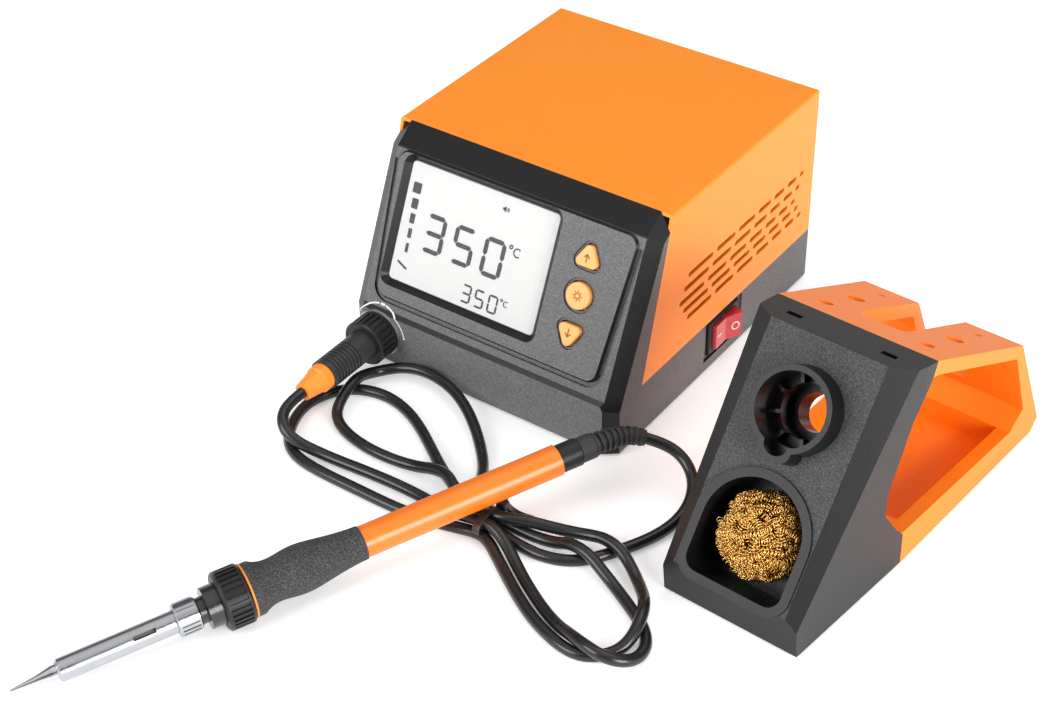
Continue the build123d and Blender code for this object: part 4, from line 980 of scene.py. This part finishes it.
@dataclass
class Tie:
    """The strap round the hank, with its buckle and a curled tail."""

    middle: Point = (-13.3, -29.5, 5.2)
    half_y: float = 7.0
    half_z: float = 4.6
    width: float = 3.0
    thick: float = 0.9
    floor_gap: float = 0.25
    buckle: Point = (4.4, 3.8, 3.4)
    buckle_at: Point = (1.2, 7.6, 2.6)
    tail_width: float = 2.4
    tail_thick: float = 0.7
    tail_curl: float = 14.0
    tail_at: Point = (1.6, 8.6, 3.4)
    tail_drop: float = 4.2

    def near(self, offset: Point) -> Matrix:
        """A place this far from the strap's middle."""
        return Matrix.Translation([(value + more) * MM for value, more in zip(self.middle, offset)])

    def build(self) -> bpy.types.Object:
        """A rounded band, a buckle on it and the strap's tail.

        Returns:
            The strap.
        """
        x, y, z = (value * MM for value in self.middle)
        band = Bench.start(
            "cylinder", vertices=40, radius=1.0, depth=self.width * MM, end_fill_type="NOTHING")
        Bench.edit()
        bpy.ops.transform.resize(value=(self.half_y * MM, self.half_z * MM, 1))
        bpy.ops.object.mode_set(mode="OBJECT")
        Bench.apply(band, "SOLIDIFY", thickness=self.thick * MM, offset=-1.0)
        Bench.apply(band, "BEVEL", width=0.2 * MM, segments=2, limit_method="ANGLE")
        turn = Matrix.Rotation(math.pi / 2, 4, "Y") @ Matrix.Rotation(math.pi / 2, 4, "Z")
        Bench.settle(band, Matrix.Translation((x, y, z)) @ turn)
        for vertex in band.data.vertices:
            vertex.co.z = max(vertex.co.z, self.floor_gap * MM)
        buckle = Bench.start("cube", size=1.0)
        Bench.edit()
        bpy.ops.transform.resize(value=[value * MM for value in self.buckle])
        Bench.pick(lambda co: co.z > 0)
        bpy.ops.transform.resize(value=(0.82, 0.82, 1))
        bpy.ops.mesh.select_all(action="SELECT")
        bpy.ops.mesh.bevel(offset=0.5 * MM, segments=3, affect="EDGES")
        bpy.ops.object.mode_set(mode="OBJECT")
        Bench.settle(buckle, self.near(self.buckle_at))
        tail = Bench.start("plane", size=1.0)
        Bench.edit()
        bpy.ops.transform.resize(value=(0.9 * MM, self.tail_width * MM, 1))
        bpy.ops.mesh.spin(
            steps=14, angle=math.radians(70), center=(self.tail_curl * MM, 0, 0), axis=(0, 1, 0))
        bpy.ops.mesh.select_all(action="SELECT")
        bpy.ops.mesh.remove_doubles(threshold=0.000001)
        bpy.ops.object.mode_set(mode="OBJECT")
        Bench.apply(tail, "SOLIDIFY", thickness=self.tail_thick * MM, offset=0.0)
        Bench.settle(tail, self.near(self.tail_at) @ Matrix.Rotation(0.5, 4, "Z"))
        low = min(vertex.co.z for vertex in tail.data.vertices)
        for vertex in tail.data.vertices:
            vertex.co.z = z - self.tail_drop * MM + (vertex.co.z - low) * 0.6
        piece = Bench.join([band, buckle, tail], "cord_strap")
        Bench.dress(piece, BLACK_GLOSS)
        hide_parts("cord_tie")
        return piece


@dataclass
class Iron:
    """The iron and its plug: finishes of the CAD pieces."""

    finishes: dict[str, Finish] = field(default_factory=lambda: {
        "iron_tip": CHROME, "heater_rod": SHADED_CERAMIC, "barrel_sleeve": STEEL, "barrel_nut": STEEL,
        "front_collar": BLACK_GLOSS, "lock_ring": BLACK_SATIN, "grip_ring": BOOT_ORANGE, "foam_grip": GRIP,
        "handle_tube": HANDLE_ORANGE, "rear_cap": BLACK_SATIN, "strain_relief": RUBBER,
        "plug_collar": BLACK_SATIN, "plug_body": DARK_GREY, "plug_boot": BOOT_ORANGE,
    })

    def build(self) -> None:
        """Coat the pieces."""
        for node, finish in self.finishes.items():
            Bench.coat(node, finish)


# ------------------------------
# The stand
# ------------------------------

@dataclass
class Wool:
    """A nest of curled brass turnings in the stand's cup."""

    radius: float = 15.6
    half_depth: float = 9.7
    curls: int = 250
    turns: int = 11
    steps: int = 8
    wire: float = 0.17
    seed: int = 11
    core_wide: float = 0.82
    core_deep: float = 0.72
    core_rough: float = 0.9

    def strand(self, rng: random.Random) -> list[Vector]:
        """One curl: a tight spring that wanders over the nest.

        Args:
            rng: The seeded source of chance.

        Returns:
            Its points, about the nest's middle, in millimetres.
        """
        spin = rng.uniform(0, 2 * math.pi)
        lift = rng.uniform(-0.7, 1.0)
        flat = math.sqrt(max(0.0, 1 - lift * lift))
        spot = Vector((flat * math.cos(spin), flat * math.sin(spin), lift))
        heading = Vector((rng.gauss(0, 1), rng.gauss(0, 1), rng.gauss(0, 1)))
        depth = rng.uniform(0.72, 0.91)
        swing = rng.uniform(-0.2, 0.2)
        curl = rng.uniform(0.85, 1.35)
        pitch = rng.uniform(0.95, 1.4) / self.radius
        points = []
        for step in range(self.turns * self.steps):
            angle = 2 * math.pi * step / self.steps
            heading = (heading - spot * heading.dot(spot)).normalized()
            heading = Matrix.Rotation(swing / self.steps, 3, spot) @ heading
            spot = (spot + heading * (pitch / self.steps)).normalized()
            side = heading.cross(spot)
            reach = depth + 0.035 * math.sin(step * 0.11 + spin)
            reach /= (math.hypot(spot.x, spot.y) ** 3 + abs(spot.z) ** 3) ** (1 / 3)
            middle = Vector((spot.x * self.radius, spot.y * self.radius, spot.z * self.half_depth)) * reach
            point = middle + (side * math.cos(angle) + spot * math.sin(angle)) * curl
            wide = math.hypot(point.x, point.y) / self.radius
            if wide > 1:
                point.x, point.y = point.x / wide, point.y / wide
            point.z = max(-self.half_depth, min(self.half_depth, point.z))
            points.append(point)
        return points

    def nest(self, place: Matrix) -> None:
        """The curls, as one mesh."""
        rng = random.Random(self.seed)
        data = bpy.data.curves.new("turnings", "CURVE")
        data.dimensions = "3D"
        for _ in range(self.curls):
            points = self.strand(rng)
            spline = data.splines.new("POLY")
            spline.points.add(len(points) - 1)
            for spot, point in zip(points, spline.points):
                point.co = (*(spot * MM), 1.0)
        data.bevel_depth = self.wire * MM
        data.bevel_resolution = 0
        curls = bpy.data.objects.new("turnings", data)
        bpy.context.scene.collection.objects.link(curls)
        Bench.clear()
        curls.select_set(True)
        bpy.context.view_layer.objects.active = curls
        bpy.ops.object.convert(target="MESH")
        piece = Bench.join([Bench.settle(bpy.context.active_object, place)], "brass_turnings")
        Bench.dress(piece, TURNINGS, "brass_wool", "wool_brass")
        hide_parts("brass_wool")

    def core(self, place: Matrix) -> None:
        """A dark, ragged ellipsoid in the nest's middle: painted shade for the shadowed inside of the
        turnings.
        """
        piece = Bench.start("ico_sphere", subdivisions=5, radius=1.0)
        rough = random.Random(self.seed + 1)
        for vertex in piece.data.vertices:
            vertex.co *= rough.uniform(self.core_rough, 1.0)
        Bench.edit()
        wide = self.radius * self.core_wide * MM
        size = (wide, wide, self.half_depth * self.core_deep * MM)
        bpy.ops.transform.resize(value=size, center_override=(0, 0, 0))
        bpy.ops.object.mode_set(mode="OBJECT")
        piece = Bench.join([Bench.settle(piece, place)], "brass_turnings_painted_shade")
        Bench.dress(piece, WOOL_PAINTED_SHADE, "brass_wool", "wool_brass")

    def build(self) -> None:
        """Put the curls over the core of painted shade, in the middle of the cup."""
        low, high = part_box("brass_wool")
        place = Matrix.Translation((Vector(low) + Vector(high)) / 2) @ Place.wool.to_3x3().to_4x4()
        self.nest(place)
        self.core(place)


@dataclass
class Stand:
    """The stand: finishes of its CAD pieces, and the wool."""

    finishes: dict[str, Finish] = field(default_factory=lambda: {
        "stand_shell": STAND_GREY, "wool_cup": CUP_BLACK, "brass_wool": TURNINGS, "iron_holder": CUP_BLACK,
        "stand_frame": FRAME_ORANGE, "stand_feet": RUBBER, "stand_screws": SCREW,
    })

    def build(self) -> None:
        """Coat the pieces and fill the cup."""
        for node, finish in self.finishes.items():
            Bench.coat(node, finish)
        Wool().build()


# ------------------------------
# The studio
# ------------------------------

@dataclass
class Studio:
    """Pale floor, soft lights and the camera."""

    eye: Point = (0.29596, -0.42325, 0.46272)
    azimuth: float = 36.6
    elevation: float = 37.53
    roll: float = -1.4
    lens: float = 67.66
    sky_stops: tuple[tuple[float, float], ...] = (
        (0.0, 0.75), (0.3, 0.6), (0.42, 0.1), (0.68, 0.08), (0.78, 0.75), (1.0, 1.0))
    lamps: tuple[tuple[str, Point, float, float], ...] = (
        ("key", (-0.4, -0.9, 0.55), 0.6, 8.0), ("side", (0.95, -0.25, 0.35), 0.5, 10.5),
        ("top", (0.1, 0.5, 0.9), 0.7, 1.5))

    def floor(self) -> None:
        """A wide pale floor under the set."""
        piece = Bench.start("plane", size=8.0)
        Bench.edit()
        bpy.ops.mesh.subdivide(number_cuts=4)
        bpy.ops.object.mode_set(mode="OBJECT")
        piece.name = "studio_floor"
        piece.data.materials.append(Paper("floor_paper").build())

    def sky(self) -> None:
        """Soft light all round, with a darker band half way up for metal to mirror."""
        world = bpy.data.worlds.new("studio")
        sheet = Sheet(world)
        direction = sheet.node("ShaderNodeTexCoord").outputs["Generated"]
        height = sheet.signal(sheet.node("ShaderNodeSeparateXYZ", None, {0: direction}), 2)
        ramp = sheet.node("ShaderNodeValToRGB", {"stops": self.sky_stops}, {0: height})
        sheet.set(Color=ramp.outputs[0], Strength=1.0)
        bpy.context.scene.world = world
        bpy.context.scene.view_settings.view_transform = "Standard"

    def light(self, name: str, spot: Point, size: float, power: float) -> None:
        """A square soft light aimed at the set."""
        data = bpy.data.lights.new(name, "AREA")
        data.size = size
        data.energy = power
        lamp = bpy.data.objects.new(name, data)
        lamp.location = spot
        lamp.rotation_euler = (Vector((0, 0, 0.03)) - Vector(spot)).to_track_quat("-Z", "Y").to_euler()
        bpy.context.scene.collection.objects.link(lamp)

    def camera(self) -> None:
        """The camera, from its place, direction and roll."""
        turn, tilt, roll = (math.radians(v) for v in (self.azimuth, self.elevation, self.roll))
        back = Vector((math.sin(turn) * math.cos(tilt), -math.cos(turn) * math.cos(tilt), math.sin(tilt)))
        right = Vector((math.cos(turn), math.sin(turn), 0))
        up = back.cross(right)
        across = right * math.cos(roll) + up * math.sin(roll)
        above = up * math.cos(roll) - right * math.sin(roll)
        data = bpy.data.cameras.new("camera")
        data.lens = self.lens
        data.sensor_width = 36.0
        data.clip_start, data.clip_end = 0.01, 50.0
        camera = bpy.data.objects.new("camera", data)
        rows = Matrix((across, above, back)).transposed().to_4x4()
        camera.matrix_world = Matrix.Translation(self.eye) @ rows
        bpy.context.scene.collection.objects.link(camera)
        bpy.context.scene.camera = camera

    def build(self) -> None:
        """Set up the floor, the lights and the camera."""
        self.floor()
        self.sky()
        for lamp in self.lamps:
            self.light(*lamp)
        self.camera()


def main() -> None:
    """Build the studio and every sub-assembly in order."""
    Studio().build()
    Cord().build(Tie().build())
    log.info("Cord: done")
    for unit in (PowerUnit(), Iron(), Stand()):
        unit.build()
        log.info("%s: done", type(unit).__name__)


if __name__ == "__main__":
    main()
